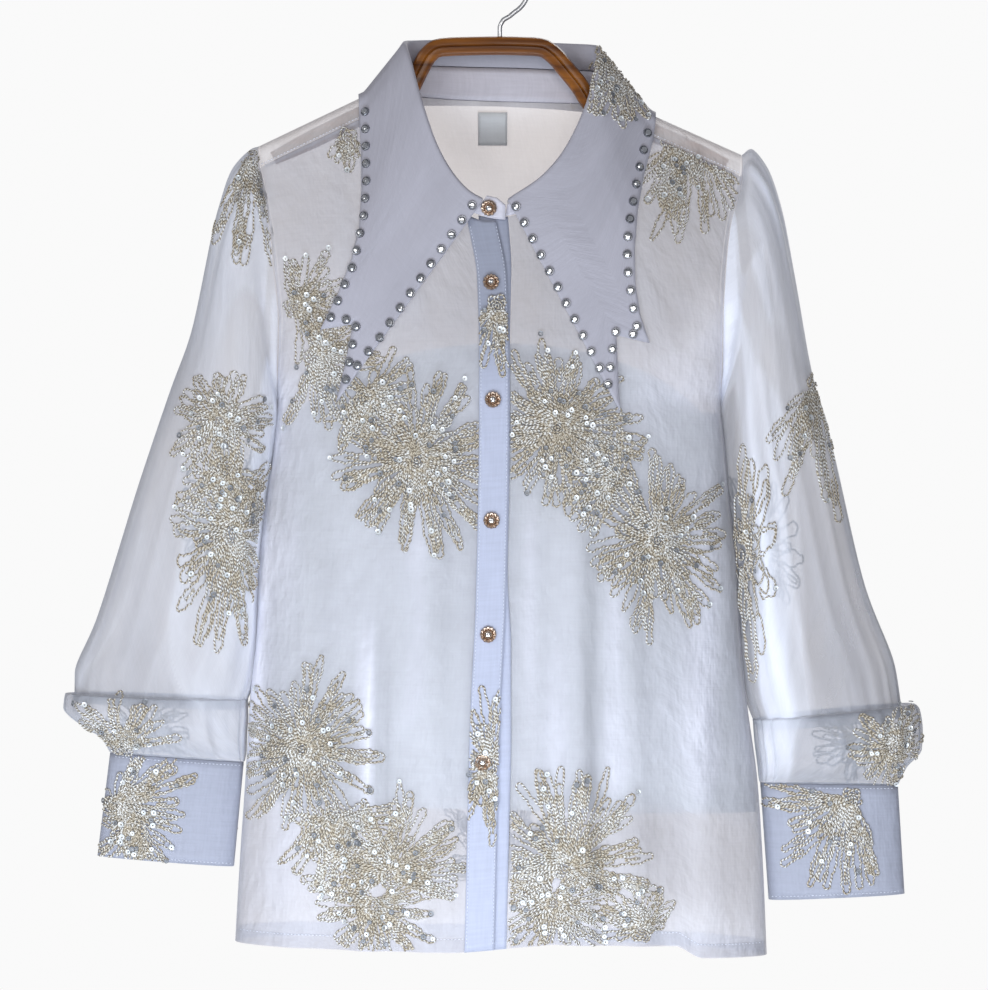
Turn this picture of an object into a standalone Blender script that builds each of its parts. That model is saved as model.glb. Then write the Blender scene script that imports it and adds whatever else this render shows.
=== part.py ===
"""A sheer embroidered shirt with flared sleeves, hung on a wooden hanger.

The shirt hangs from the hook of its hanger. +Z is up, the fronts face -Y and the
wearer's left is at +X. The origin is the inside of the hook's crook, where the rail
carries it. Sizes are in millimetres, and they become metres as each mesh is made.

Every panel is a thin wall. Its outer face follows the sections below: the body is a
soft lens between two side seams, a sleeve is a row of rings from the armhole to the
cuff, and the collar turns over a roll line that runs round the neck. In the tables
left and right are as seen from the front, and the pieces are named for the wearer.
"""

import math

import bmesh
import bpy
import numpy as np
from mathutils import Vector
from mathutils.bvhtree import BVHTree

MM = 0.001
SEAM_GAP = 0.4
SIDE_SEAM = 0.65

# Wall thickness of each cloth.
SHEER_WALL = 1.2
BAND_WALL = 1.4
COLLAR_WALL = 1.6
CUFF_WALL = 2.0
LINING_WALL = 1.0
LABEL_WALL = 1.0

# Body sections from hem to shoulder: side edges and the depth of each half.
BODY_COLUMNS = ("height", "left", "right", "front", "back")
BODY_ROWS = (
    (-745, -199.0, 200.0, 64, 64),
    (-675, -195.0, 197.0, 63, 63),
    (-615, -191.0, 193.0, 62, 62),
    (-555, -187.5, 185.0, 60, 61),
    (-500, -182.5, 180.0, 59, 60),
    (-450, -180.5, 177.5, 58, 59),
    (-400, -175.0, 171.5, 57, 58),
    (-365, -169.5, 169.0, 56, 57),
    (-330, -167.0, 165.5, 54, 56),
    (-270, -164.5, 165.5, 49, 52),
    (-235, -167.5, 167.0, 45, 48),
    (-195, -172.0, 171.0, 38, 42),
    (-155, -180.5, 181.0, 30, 34),
)
BODY_FULLNESS = 2.4

# Top of the shoulders, the hanger's arms lie just under it.
SHOULDER_X = (-181.5, -79.0, 0.0, 79.0, 182.0)
SHOULDER_Z = (-147.0, -97.0, -90.0, -106.0, -152.0)
SHOULDER_RADIUS = 8.4
SHOULDER_DROP = 110.0
SHOULDER_ROUNDING = 2.2
SHOULDER_SEAM = 9.0
NECK_SIDE = 79.0

# Armholes reach from the shoulder's end down to the underarm.
UNDERARM = -330.0
ARMHOLE_DEPTH = 31.0
ARMHOLE_ROUNDING = 0.75
ARMHOLE_GAP = 0.6

# Neck seam, seen from the front and from the back.
NECK_FRONT_X = (-79, -74, -64, -44, -27, -10, 2, 20, 38, 58, 70, 79)
NECK_FRONT_Z = (-114, -127, -148, -176, -189, -195, -195, -191, -180, -157, -137, -123)
NECK_BACK_X = (-79, -60, -30, 0, 30, 60, 79)
NECK_BACK_Z = (-105.4, -108, -110, -111, -112, -113, -114.4)

# Hems. The left front is a little shorter beside its band, as the shirt hangs.
HEM_X = (-199, -30, 5, 39, 132, 146, 200)
HEM_Z = (-735, -738, -735, -732, -734, -743, -745)
BACK_HEM_X = (-199, 0, 200)
BACK_HEM_Z = (-736, -742, -747)
BODY_HEM = -742.0
HEM_REACH = 150.0

# Levels at which the body panels have a row of points, and their columns.
BODY_HEIGHTS = (
    -740, -680, -610, -540, -470, -410, -365, UNDERARM, -300, -270, -240, -212, -188, -170, -157.9,
)
FRONT_COLUMNS = 5
SIDE_COLUMNS = 7
WRAP_STEPS = 6

# Soft folds that hang in the body: sideways place at the top and at the hem.
FOLD_COLUMNS = ("top_x", "hem_x", "top", "depth", "width")
FRONT_FOLDS = (
    (-140, -158, -400, 7, 15),
    (-95, -101, -500, 9, 13),
    (-50, -56, -430, 5, 13),
    (60, 58, -320, 7, 14),
    (92, 104, -380, 8, 13),
    (140, 158, -440, 8, 15),
)
BACK_FOLDS = (
    (-138, -156, -380, 9, 16),
    (-84, -96, -300, 8, 15),
    (-30, -34, -420, 6, 15),
    (28, 30, -260, 8, 16),
    (84, 92, -400, 9, 15),
    (136, 154, -340, 8, 16),
)
FOLD_RAMP = 160.0

# Button bands: the middle of the top band, and how far the under band shows.
BAND_Z = (-745, -565, -480, -340, -300, -240, -195)
BAND_X = (-15.4, -11.0, -7.0, -4.5, -4.5, -6.0, -14.0)
BAND_HALF = 11.0
BAND_LAP = 1.6
UNDER_BAND = 22.0
UNDER_Z = (-745, -600, -520, -450, -300, -245, -195)
UNDER_SHOWS = (9.0, 9.0, 6.0, 0.8, 0.8, 3.0, 9.0)
TOP_BAND_LIFT = BAND_WALL + 0.4
BAND_COLUMNS = 3
BAND_SHORT = 3.2

# Sleeve rings below the armhole: outer and inner edge, half depth, and how strong
# the head gathers, the hanging folds and the cuff gathers are there.
RING_COLUMNS = ("outer_x", "outer_z", "inner_x", "inner_z", "depth", "head", "hang", "cuff")
LEFT_SLEEVE_RINGS = (
    (-187.0, -141.5, -168.8, -334, 34.0, 2.0, 0.0, 0.0),
    (-202.0, -156.0, -169.8, -340, 40.0, 3.0, 0.0, 0.0),
    (-212.0, -190.0, -171.0, -350, 43.0, 2.0, 0.2, 0.0),
    (-228.0, -280.0, -176.2, -392, 43.0, 0.5, 0.6, 0.0),
    (-242.0, -322.0, -179.5, -420, 42.0, 0.0, 0.8, 0.0),
    (-268.0, -390.0, -183.5, -460, 41.0, 0.0, 1.0, 0.0),
    (-303.0, -495.0, -187.5, -520, 40.0, 0.0, 0.9, 0.0),
    (-316.0, -535.0, -191.0, -545, 38.5, 0.0, 0.6, 0.5),
    (-319.0, -556.0, -196.0, -562, 36.0, 0.0, 0.2, 1.0),
    (-322.0, -549.5, -193.0, -554, 39.5, 0.0, 0.1, 1.0),
    (-325.5, -550.0, -190.2, -555, 43.5, 0.0, 0.1, 1.2),
    (-327.0, -561.0, -190.2, -566, 45.5, 0.0, 0.1, 1.6),
    (-320.0, -575.0, -191.6, -581, 42.0, 0.0, 0.0, 2.2),
    (-305.0, -586.0, -192.0, -593, 31.0, 0.0, 0.0, 2.2),
)
RIGHT_SLEEVE_RINGS = (
    (187.0, -146.0, 167.4, -334, 34.0, 2.0, 0.0, 0.0),
    (200.0, -158.0, 168.4, -340, 41.0, 3.0, 0.0, 0.0),
    (211.0, -188.0, 170.0, -350, 44.0, 2.0, 0.2, 0.0),
    (219.0, -240.0, 172.5, -370, 44.0, 0.8, 0.5, 0.0),
    (230.0, -309.0, 176.0, -410, 42.0, 0.0, 0.8, 0.0),
    (248.0, -368.0, 180.0, -445, 41.0, 0.0, 1.0, 0.0),
    (273.0, -470.0, 184.5, -512, 40.0, 0.0, 1.0, 0.0),
    (294.0, -529.0, 189.5, -550, 38.5, 0.0, 0.6, 0.5),
    (303.0, -568.0, 196.0, -577, 36.0, 0.0, 0.2, 1.0),
    (307.0, -561.5, 193.0, -569, 39.5, 0.0, 0.1, 1.0),
    (311.5, -562.0, 190.2, -570, 43.5, 0.0, 0.1, 1.2),
    (316.5, -577.0, 191.4, -584, 45.5, 0.0, 0.1, 1.6),
    (314.5, -594.0, 193.6, -599, 42.0, 0.0, 0.0, 2.2),
    (306.0, -608.0, 194.9, -610, 31.0, 0.0, 0.0, 2.2),
)
SLEEVE_POINTS = 48
HEAD_GATHERS = 8
HEAD_REACH = 75.0
CUFF_GATHERS = 16

# Long folds of a sleeve, by angle: 0 is the outer edge, 90 the front, 180 the body side.
SLEEVE_FOLD_COLUMNS = ("top_angle", "cuff_angle", "start", "end", "depth", "width")
LEFT_SLEEVE_FOLDS = (
    (140, 128, 0.15, 1.0, 7.0, 13),
    (80, 95, 0.30, 1.0, 5.0, 14),
    (52, 40, 0.35, 1.0, 4.0, 14),
    (225, 235, 0.20, 1.0, 6.0, 15),
    (290, 300, 0.30, 1.0, 5.0, 16),
)
RIGHT_SLEEVE_FOLDS = (
    (112, 132, 0.05, 1.0, 9.0, 13),
    (70, 78, 0.45, 1.0, 5.0, 13),
    (40, 34, 0.50, 1.0, 4.0, 13),
    (230, 222, 0.20, 1.0, 6.0, 15),
    (285, 300, 0.30, 1.0, 5.0, 16),
)

# Cuffs: their edges at the sleeve seam and at the wrist.
CUFF_COLUMNS = ("outer_x", "outer_z", "inner_x", "inner_z", "depth")
LEFT_CUFF = ((-292.5, -594.5, -192.2, -601.5, 15.0), (-302.0, -671.5, -199.5, -679.5, 16.0))
RIGHT_CUFF = ((298.5, -618.5, 195.2, -617.0, 15.0), (303.5, -700.0, 201.5, -704.5, 16.0))
CUFF_POINTS = 32
CUFF_ROWS = 3
CUFF_SQUARENESS = 0.8

# Roll line of the collar, left end to right end: share of the way round the neck seam,
# and place. The stand reaches part of the way from the neck seam to the roll.
ROLL_COLUMNS = ("share", "x", "y", "z", "stand")
ROLL_ROWS = (
    (0.00, -13.0, -41.5, -181.0, 0.68),
    (0.05, -23.0, -43.0, -174.5, 0.70),
    (0.10, -35.0, -41.0, -161.0, 0.72),
    (0.15, -46.5, -37.0, -140.0, 0.75),
    (0.20, -56.0, -31.0, -113.0, 0.70),
    (0.24, -61.5, -24.0, -94.0, 0.66),
    (0.27, -66.5, -15.0, -75.0, 0.62),
    (0.30, -70.0, -3.0, -63.0, 0.58),
    (0.35, -67.0, 10.0, -59.0, 0.55),
    (0.42, -40.0, 21.0, -57.0, 0.54),
    (0.50, 0.0, 25.0, -57.0, 0.54),
    (0.58, 42.0, 22.0, -59.0, 0.54),
    (0.65, 69.0, 11.0, -62.0, 0.55),
    (0.70, 73.0, -2.0, -67.0, 0.58),
    (0.74, 71.0, -15.0, -81.0, 0.62),
    (0.78, 67.0, -24.0, -100.0, 0.66),
    (0.82, 58.0, -31.0, -124.0, 0.70),
    (0.87, 44.0, -37.5, -149.0, 0.75),
    (0.92, 27.0, -41.0, -167.0, 0.72),
    (1.00, 6.0, -42.0, -181.0, 0.68),
)
ROLL_RADIUS = 2.3
STAND_END = 16.0
STAND_START = 4.0
STAND_COLUMNS = 40
STAND_INSET = 0.972
STAND_LIFT = 0.8

# The stand's buttoned tab: place, then depth and height of its lower and upper edge.
TAB_COLUMNS = ("x", "low_y", "low_z", "high_y", "high_z")
TAB_ROWS = (
    (4.0, -41.0, -197.0, -46.0, -186.5),
    (-2.0, -40.5, -196.5, -45.5, -181.5),
    (-9.5, -39.4, -195.3, -43.6, -179.5),
)

# Outer edge of the collar leaf. The front rows lie on the fronts, the others hang free.
LEAF_COLUMNS = ("share", "x", "z")
LEAF_LEFT_EDGE = (
    (0.000, -123.0, -333.0),
    (0.035, -115.5, -302.0),
    (0.070, -110.0, -275.0),
    (0.090, -122.0, -277.0),
    (0.110, -135.0, -279.0),
    (0.135, -122.0, -253.0),
    (0.160, -112.0, -228.0),
    (0.185, -106.0, -203.0),
    (0.215, -104.5, -175.0),
    (0.245, -105.0, -145.0),
    (0.275, -106.5, -122.0),
)
LEAF_RIGHT_EDGE = (
    (0.725, 116.0, -136.0),
    (0.755, 109.0, -162.0),
    (0.785, 103.5, -190.0),
    (0.815, 101.0, -220.0),
    (0.840, 101.5, -246.0),
    (0.865, 105.0, -268.0),
    (0.890, 112.0, -289.0),
    (0.912, 99.0, -286.0),
    (0.932, 87.0, -283.0),
    (0.965, 88.5, -312.0),
    (1.000, 90.0, -340.0),
)
LEAF_BACK_COLUMNS = ("share", "x", "y", "z")
LEAF_BACK_EDGE = (
    (0.287, -106.8, -8.0, -110.5),
    (0.300, -107.5, 0.0, -107.0),
    (0.313, -106.5, 8.0, -110.5),
    (0.330, -104.0, 14.5, -121.0),
    (0.38, -76.0, 25.0, -128.0),
    (0.44, -36.0, 29.0, -127.0),
    (0.50, 0.0, 30.0, -126.0),
    (0.56, 38.0, 29.0, -129.0),
    (0.62, 80.0, 25.0, -134.0),
    (0.670, 112.0, 14.5, -132.0),
    (0.687, 116.5, 8.0, -124.0),
    (0.700, 118.0, 0.0, -120.5),
    (0.713, 117.5, -8.0, -124.0),
)
LEAF_CLEARANCE = 2.6
LEAF_SEAM = 0.9
SHOULDER_EASE = 0.9
LEAF_ROWS = 5

# Studs: the line that they follow just inside each leaf's edge, and how many.
STUD_LEFT_X = (-102, -100.5, -102, -110, -127.5, -118.5, -107, -112, -115.5, -90, -48, -21)
STUD_LEFT_Z = (-115, -167, -193, -231, -271, -271.5, -272, -297, -316, -285, -225, -187)
STUD_RIGHT_X = (111.5, 104, 96, 95, 99.5, 104, 96, 86, 83.5, 81, 50, 12)
STUD_RIGHT_Z = (-131, -162, -204, -231, -262, -285, -280.5, -281, -297, -320, -261, -188)
STUDS_LEFT = 30
STUDS_RIGHT = 28
STUD_RADIUS = 3.1
STUD_HEIGHT = 2.0
STUD_SUNK = 0.9
STUD_SIDES = 5

# Buttons down the middle of the top band, and one on the stand.
BUTTON_Z = (-244.0, -331.0, -420.0, -504.0, -598.0)
BUTTON_RADIUS = 6.0
BUTTON_PROFILE = ((0.0, 2.6), (3.2, 2.5), (4.4, 1.6), (6.0, 1.3), (6.0, 0.3), (5.4, 0.0), (0.0, 0.0))
BUTTON_STEPS = 10
BUTTON_GAP = 0.35
BUTTON_SHIFT = -0.8
NECK_BUTTON = (-8.0, -188.5)

# Inner lining that shows through the body.
LINING_HEM_LEFT = -629.0
LINING_HEM_RIGHT = -638.0
LINING_SIDE_TOP = -340.0
LINING_RISE = 85.0
LINING_EASE = 2.5
LINING_HANG = 0.88
LINING_POINTS = 36
LINING_STEPS = 6

# Plain neck label under the collar's back seam.
LABEL_X = (-16.5, 5.5)
LABEL_Z = (-137.0, -112.8)
LABEL_GAP = 1.1

# Wooden hanger: middle line of its arms, then the wire hook.
HANGER_X = (-170, -90, -78, -69, -62, -55, -47, 0, 32, 41, 51, 60, 67, 76, 88, 170)
HANGER_Z = (
    -151.2, -112.2, -108.5, -103, -88, -74.5, -67.5, -66.5, -67.5, -74, -86, -97, -109, -117, -119.7, -156.3,
)
HANGER_HALF_HEIGHT = 7.0
HANGER_THICKNESS = 11.0
HANGER_ROUNDING = 4.2
HOOK_WIRE = 3.6
HOOK_RADIUS = 20.0
HOOK_STEM = ((0.0, -59.1), (0.0, -50.0), (2.5, -44.8))
HOOK_ARC = (-58, 200)
HOOK_STEPS = 18

# Colours of the finishes: red, green, blue, roughness, metallic.
FINISHES = {
    "organza": (0.80, 0.82, 0.88, 0.55, 0.0),
    "band_cotton": (0.84, 0.86, 0.92, 0.60, 0.0),
    "collar_cotton": (0.76, 0.77, 0.85, 0.60, 0.0),
    "cuff_cotton": (0.82, 0.85, 0.92, 0.60, 0.0),
    "lining_voile": (0.90, 0.92, 0.96, 0.70, 0.0),
    "label_satin": (0.70, 0.72, 0.74, 0.40, 0.0),
    "button_gold": (0.70, 0.50, 0.28, 0.30, 1.0),
    "hanger_wood": (0.42, 0.22, 0.08, 0.45, 0.0),
    "hook_steel": (0.75, 0.75, 0.76, 0.25, 1.0),
}


def smooth(keys, values, at):
    """Value of the smooth curve through the points (keys, values). It never overshoots."""
    keys, values = np.asarray(keys, float), np.asarray(values, float)
    at = np.clip(np.asarray(at, float), keys[0], keys[-1])
    step = np.diff(keys)
    rise = np.diff(values) / step
    slope = np.zeros_like(values)
    slope[0], slope[-1] = rise[0], rise[-1]
    turning = rise[:-1] * rise[1:] <= 0
    total = np.where(turning, 1.0, rise[:-1] + rise[1:])
    slope[1:-1] = np.where(turning, 0.0, 2 * rise[:-1] * rise[1:] / total)
    i = np.clip(np.searchsorted(keys, at) - 1, 0, len(step) - 1)
    t = (at - keys[i]) / step[i]
    start = values[i] * (1 + 2 * t) * (1 - t) ** 2 + slope[i] * step[i] * t * (1 - t) ** 2
    end = values[i + 1] * t**2 * (3 - 2 * t) - slope[i + 1] * step[i] * t**2 * (1 - t)
    return start + end


def column(rows, names, name):
    return [row[names.index(name)] for row in rows]


def body_at(height, name):
    """A column of the body's sections at this height."""
    return smooth(column(BODY_ROWS, BODY_COLUMNS, "height"), column(BODY_ROWS, BODY_COLUMNS, name), height)


def shoulder_top(x):
    return np.interp(x, SHOULDER_X, SHOULDER_Z)


def armhole_depth(height):
    """Half the armhole's opening from front to back at this height, and 0 under it."""
    top = (SHOULDER_Z[0] + SHOULDER_Z[-1]) / 2 - SHOULDER_RADIUS
    middle = (top + UNDERARM) / 2
    upper = np.clip((height - middle) / (top - middle), 0, 1)
    lower = np.clip((middle - height) / (middle - UNDERARM), 0, 1)
    above = SHOULDER_RADIUS + (ARMHOLE_DEPTH - SHOULDER_RADIUS) * (1 - upper**2) ** ARMHOLE_ROUNDING
    below = ARMHOLE_DEPTH * (1 - lower**2) ** ARMHOLE_ROUNDING
    return np.where(height > middle, above, below)


def folds_at(x, z, rows):
    """How far the hanging folds push the cloth out."""
    total = 0.0
    for top_x, hem_x, top, depth, width in rows:
        down = np.clip((top - z) / (top - BODY_HEM), 0, 1)
        place = top_x + (hem_x - top_x) * down
        ramp = np.clip((top - z) / FOLD_RAMP, 0, 1)
        ramp = ramp * ramp * (3 - 2 * ramp)
        total = total + depth * ramp * np.exp(-(((x - place) / width) ** 2))
    return total


def body_depth(x, z, half, folds):
    """Distance of the body's outer face from its middle plane."""
    left, right = body_at(z, "left"), body_at(z, "right")
    middle, reach = (left + right) / 2, (right - left) / 2
    across = np.clip(np.abs(x - middle) / reach, 0, 1)
    bulge = (1 - across**BODY_FULLNESS) ** (1 / BODY_FULLNESS)
    edge = armhole_depth(z)
    deep = edge + (body_at(z, half) - edge) * bulge + folds_at(x, z, folds) * (1 - across**4)
    below = np.clip((shoulder_top(x) - SHOULDER_RADIUS - z) / SHOULDER_DROP, 0, 1)
    rounded = 1 - (1 - below) ** SHOULDER_ROUNDING
    return SHOULDER_RADIUS + (deep - SHOULDER_RADIUS) * rounded


def front_y(x, z):
    return -body_depth(x, z, "front", FRONT_FOLDS) - SIDE_SEAM


def back_y(x, z):
    return body_depth(x, z, "back", BACK_FOLDS) + SIDE_SEAM


def band_middle(z):
    return smooth(BAND_Z, BAND_X, z)


def under_band_edge(z):
    return band_middle(z) + BAND_HALF + smooth(UNDER_Z, UNDER_SHOWS, z)


def sheet_object(name, grid, finish, wall, around=False, flip=False, faces=None):
    """A thin wall whose outer face runs through the grid's points."""
    rows, columns = len(grid), len(grid[0])
    shape = bmesh.new()
    points = [[shape.verts.new(np.asarray(p, float) * MM) if p is not None else None for p in row]
              for row in grid]
    last = columns if around else columns - 1
    for i in range(rows - 1):
        for j in range(last):
            corners = [points[i][j], points[i][(j + 1) % columns],
                       points[i + 1][(j + 1) % columns], points[i + 1][j]]
            if None in corners:
                continue
            shape.faces.new(corners[::-1] if flip else corners)
    thing = mesh_object(name, shape, finish)
    solid = thing.modifiers.new("Wall", "SOLIDIFY")
    solid.thickness = wall * MM
    solid.offset = -1
    solid.use_quality_normals = True
    return thing


def mesh_object(name, shape, finish):
    """Turns a bmesh into an object of the shirt, shaded smooth but at its sharp edges."""
    mesh = bpy.data.meshes.new(name)
    shape.to_mesh(mesh)
    shape.free()
    mesh.shade_smooth()
    mesh.set_sharp_from_angle(angle=math.radians(50))
    thing = bpy.data.objects.new(name, mesh)
    bpy.data.collections["flared_sleeve_shirt"].objects.link(thing)
    thing.data.materials.append(finish_material(finish))
    return thing


def finish_material(finish):
    if finish in bpy.data.materials:
        return bpy.data.materials[finish]
    red, green, blue, roughness, metallic = FINISHES[finish]
    material = bpy.data.materials.new(finish)
    material.use_nodes = True
    shader = material.node_tree.nodes["Principled BSDF"]
    shader.inputs["Base Color"].default_value = (red, green, blue, 1)
    shader.inputs["Roughness"].default_value = roughness
    shader.inputs["Metallic"].default_value = metallic
    return material


def front_top(x):
    """Top edge of a front: the neck seam, then the shoulder seam."""
    seam = shoulder_top(x) - SHOULDER_RADIUS - SHOULDER_SEAM
    return np.where(np.abs(x) < NECK_SIDE, smooth(NECK_FRONT_X, NECK_FRONT_Z, x), seam)


def back_top(x):
    """Top edge of the back's own side: the neck seam, then the ridge of the shoulder."""
    ridge = shoulder_top(x) - SHOULDER_RADIUS
    return np.where(np.abs(x) < NECK_SIDE, smooth(NECK_BACK_X, NECK_BACK_Z, x), ridge)


def panel_grid(across, top_edge, hem_edge, half):
    """Points of a body panel. across(height) gives each column's share of the half width."""
    grid = []
    for height in BODY_HEIGHTS:
        up = max(0.0, (height - UNDERARM) / (BODY_HEIGHTS[-1] - UNDERARM))
        low = np.clip(1 - (height - BODY_HEIGHTS[0]) / HEM_REACH, 0, 1)
        shares = across(height)
        left, right = body_at(height, "left"), body_at(height, "right")
        x = (left + right) / 2 + (right - left) / 2 * shares
        tip = (body_at(BODY_HEIGHTS[-1], "left") + body_at(BODY_HEIGHTS[-1], "right")) / 2
        reach = (body_at(BODY_HEIGHTS[-1], "right") - body_at(BODY_HEIGHTS[-1], "left")) / 2
        x_top = tip + reach * across(BODY_HEIGHTS[-1])
        z = height + (top_edge(x_top) - BODY_HEIGHTS[-1]) * up**1.5
        z = z + (hem_edge(x) - BODY_HEIGHTS[0]) * low
        y = front_y(x, z) if half == "front" else back_y(x, z)
        grid.append(list(np.stack([x, y, z], axis=1)))
    return grid


def neck_share():
    left, right = body_at(BODY_HEIGHTS[-1], "left"), body_at(BODY_HEIGHTS[-1], "right")
    return NECK_SIDE / ((right - left) / 2)


def side_shares(count):
    """Columns from the side of the neck to the armhole, closer together at the edge."""
    start = math.asin(neck_share())
    return np.sin(np.linspace(start, math.pi / 2, count + 1))


def share_of(x, height):
    left, right = body_at(height, "left"), body_at(height, "right")
    return (x - (left + right) / 2) / ((right - left) / 2)


def front_hem(x):
    return np.interp(x, HEM_X, HEM_Z)


def back_hem(x):
    return np.interp(x, BACK_HEM_X, BACK_HEM_Z)


def centre_height(height):
    """Height at the middle of the front of the row that leaves the side seam at this height."""
    up = max(0.0, (height - UNDERARM) / (BODY_HEIGHTS[-1] - UNDERARM))
    return height + (NECK_FRONT_Z[5] - BODY_HEIGHTS[-1]) * up**1.5


def front_grid(side):
    """The right front for side -1, which ends under the top band, and the left front for 1."""
    def right_front(height):
        edge = share_of(band_middle(centre_height(height)) - BAND_HALF + BAND_LAP, height)
        inner = np.linspace(-neck_share(), edge, FRONT_COLUMNS + 1)
        return np.concatenate([-side_shares(SIDE_COLUMNS)[::-1], inner[1:]])

    def left_front(height):
        edge = share_of(under_band_edge(centre_height(height)) + SEAM_GAP, height)
        inner = np.linspace(edge, neck_share(), FRONT_COLUMNS + 1)
        return np.concatenate([inner[:-1], side_shares(SIDE_COLUMNS)])

    return panel_grid(right_front if side < 0 else left_front, front_top, front_hem, "front")


def back_grid():
    """The back goes up behind, over the shoulders and a little way down in front."""
    side = side_shares(SIDE_COLUMNS)
    middle = np.linspace(-neck_share(), neck_share(), 2 * FRONT_COLUMNS + 1)
    shares = np.concatenate([-side[::-1], middle[1:-1], side])
    grid = panel_grid(lambda height: shares, back_top, back_hem, "back")
    ridge = grid[-1]
    wrap = [(math.pi * step / WRAP_STEPS, 0.0) for step in range(1, WRAP_STEPS + 1)]
    wrap += [(math.pi, (SHOULDER_SEAM - SEAM_GAP) / 2), (math.pi, SHOULDER_SEAM - SEAM_GAP)]
    for turn, down in wrap:
        row = []
        for place in ridge:
            x = place[0]
            if abs(x) < NECK_SIDE - 1:
                row.append(None)
                continue
            level = shoulder_top(x) - SHOULDER_RADIUS
            if down:
                row.append((x, float(front_y(x, level - down)), level - down))
            else:
                radius = SHOULDER_RADIUS + SIDE_SEAM
                row.append((x, radius * math.cos(turn), level + SHOULDER_RADIUS * math.sin(turn)))
        grid.append(row)
    return grid


def build_body():
    sheet_object("front_right", front_grid(-1), "organza", SHEER_WALL)
    sheet_object("front_left", front_grid(1), "organza", SHEER_WALL)
    sheet_object("back", back_grid(), "organza", SHEER_WALL, flip=True)


def band_grid(left_edge, right_edge, lift, short):
    """A strip of the front's own surface, moved out by lift and ending short of the neck seam."""
    grid = []
    for height in BODY_HEIGHTS:
        up = max(0.0, (height - UNDERARM) / (BODY_HEIGHTS[-1] - UNDERARM))
        low = np.clip(1 - (height - BODY_HEIGHTS[0]) / HEM_REACH, 0, 1)
        middle = centre_height(height)
        x = np.linspace(left_edge(middle), right_edge(middle), BAND_COLUMNS + 1)
        z = height + (smooth(NECK_FRONT_X, NECK_FRONT_Z, x) - short - BODY_HEIGHTS[-1]) * up**1.5
        z = z + (front_hem(x) - BODY_HEIGHTS[0]) * low
        grid.append(list(np.stack([x, front_y(x, z) - lift, z], axis=1)))
    return grid


def build_bands():
    def top_left(height):
        return band_middle(height) - BAND_HALF

    def top_right(height):
        return band_middle(height) + BAND_HALF

    def under_left(height):
        hidden = top_left(height) + BAND_LAP + SEAM_GAP
        return np.maximum(under_band_edge(height) - UNDER_BAND, hidden)

    top_band = band_grid(top_left, top_right, TOP_BAND_LIFT, BAND_SHORT)
    sheet_object("placket_right", top_band, "band_cotton", BAND_WALL)
    under_band = band_grid(under_left, under_band_edge, 0.0, 0.0)
    sheet_object("placket_left", under_band, "band_cotton", BAND_WALL)


def resample(points, count):
    """Points at equal spacing along a line of points, its ends included."""
    points = np.asarray(points, float)
    length = np.concatenate([[0], np.cumsum(np.linalg.norm(np.diff(points, axis=0), axis=1))])
    at = np.linspace(0, length[-1], count)
    return np.stack([np.interp(at, length, points[:, k]) for k in range(3)], axis=1)


def armhole_loop(side, angles):
    """The panels' own armhole edge at these angles: 0 is its top, 90 the front, 180 the underarm."""
    edge = 0 if side < 0 else -1
    front = [row[edge] for row in front_grid(side) if row[edge][2] > UNDERARM - 1]
    rows = [row[edge] for row in back_grid()]
    back = [place for place in rows[:len(BODY_HEIGHTS)] if place[2] > UNDERARM - 1]
    wrap = rows[len(BODY_HEIGHTS):]
    crest = max(range(WRAP_STEPS), key=lambda step: wrap[step][2])
    line = np.array([*wrap[crest:], *front[::-1], *back, *wrap[:crest + 1]], float)
    top, low = line[0, 2], UNDERARM
    turn = np.arccos(np.clip((line[:, 2] - (top + low) / 2) / ((top - low) / 2), -1, 1))
    first_back = len(wrap) - crest + len(front)
    turn[first_back:] = 2 * math.pi - turn[first_back:]
    return np.stack([np.interp(angles, turn, line[:, k]) for k in range(3)], axis=1)


def ring(outer, inner, depth, angles, squareness=1.0):
    """A ring between an outer and an inner edge, with its outward directions."""
    outer, inner = np.array([outer[0], 0, outer[1]]), np.array([inner[0], 0, inner[1]])
    middle, reach = (outer + inner) / 2, np.linalg.norm(outer - inner) / 2
    out = (outer - inner) / (2 * reach)
    across, front = np.cos(angles), np.sin(angles)
    across = np.sign(across) * np.abs(across) ** squareness
    front = np.sign(front) * np.abs(front) ** squareness
    forward = np.array([0, -1, 0])
    points = middle + np.outer(reach * across, out) + np.outer(depth * front, forward)
    normal = np.outer(across / reach, out) + np.outer(front / depth, forward)
    return points, normal / np.linalg.norm(normal, axis=1, keepdims=True)


def sleeve_folds(angles, along, rows):
    """Push of the long folds at each angle, at this share of the sleeve's length."""
    total = np.zeros_like(angles)
    for top_angle, cuff_angle, start, end, depth, width in rows:
        place = math.radians(top_angle + (cuff_angle - top_angle) * along)
        ramp = min(max((along - start) / 0.2, 0.0), 1.0)
        apart = np.degrees(np.angle(np.exp(1j * (angles - place))))
        total += depth * ramp * np.exp(-((apart / width) ** 2))
    return total


def cuff_ring(cuff, along, angles, rise=0.0):
    """A ring of the cuff: along is 0 at the sleeve seam and 1 at the wrist."""
    top, low = np.array(cuff[0], float), np.array(cuff[1], float)
    outer_x, outer_z, inner_x, inner_z, depth = top + (low - top) * along
    return ring((outer_x, outer_z + rise), (inner_x, inner_z + rise), depth, angles, CUFF_SQUARENESS)[0]


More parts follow.
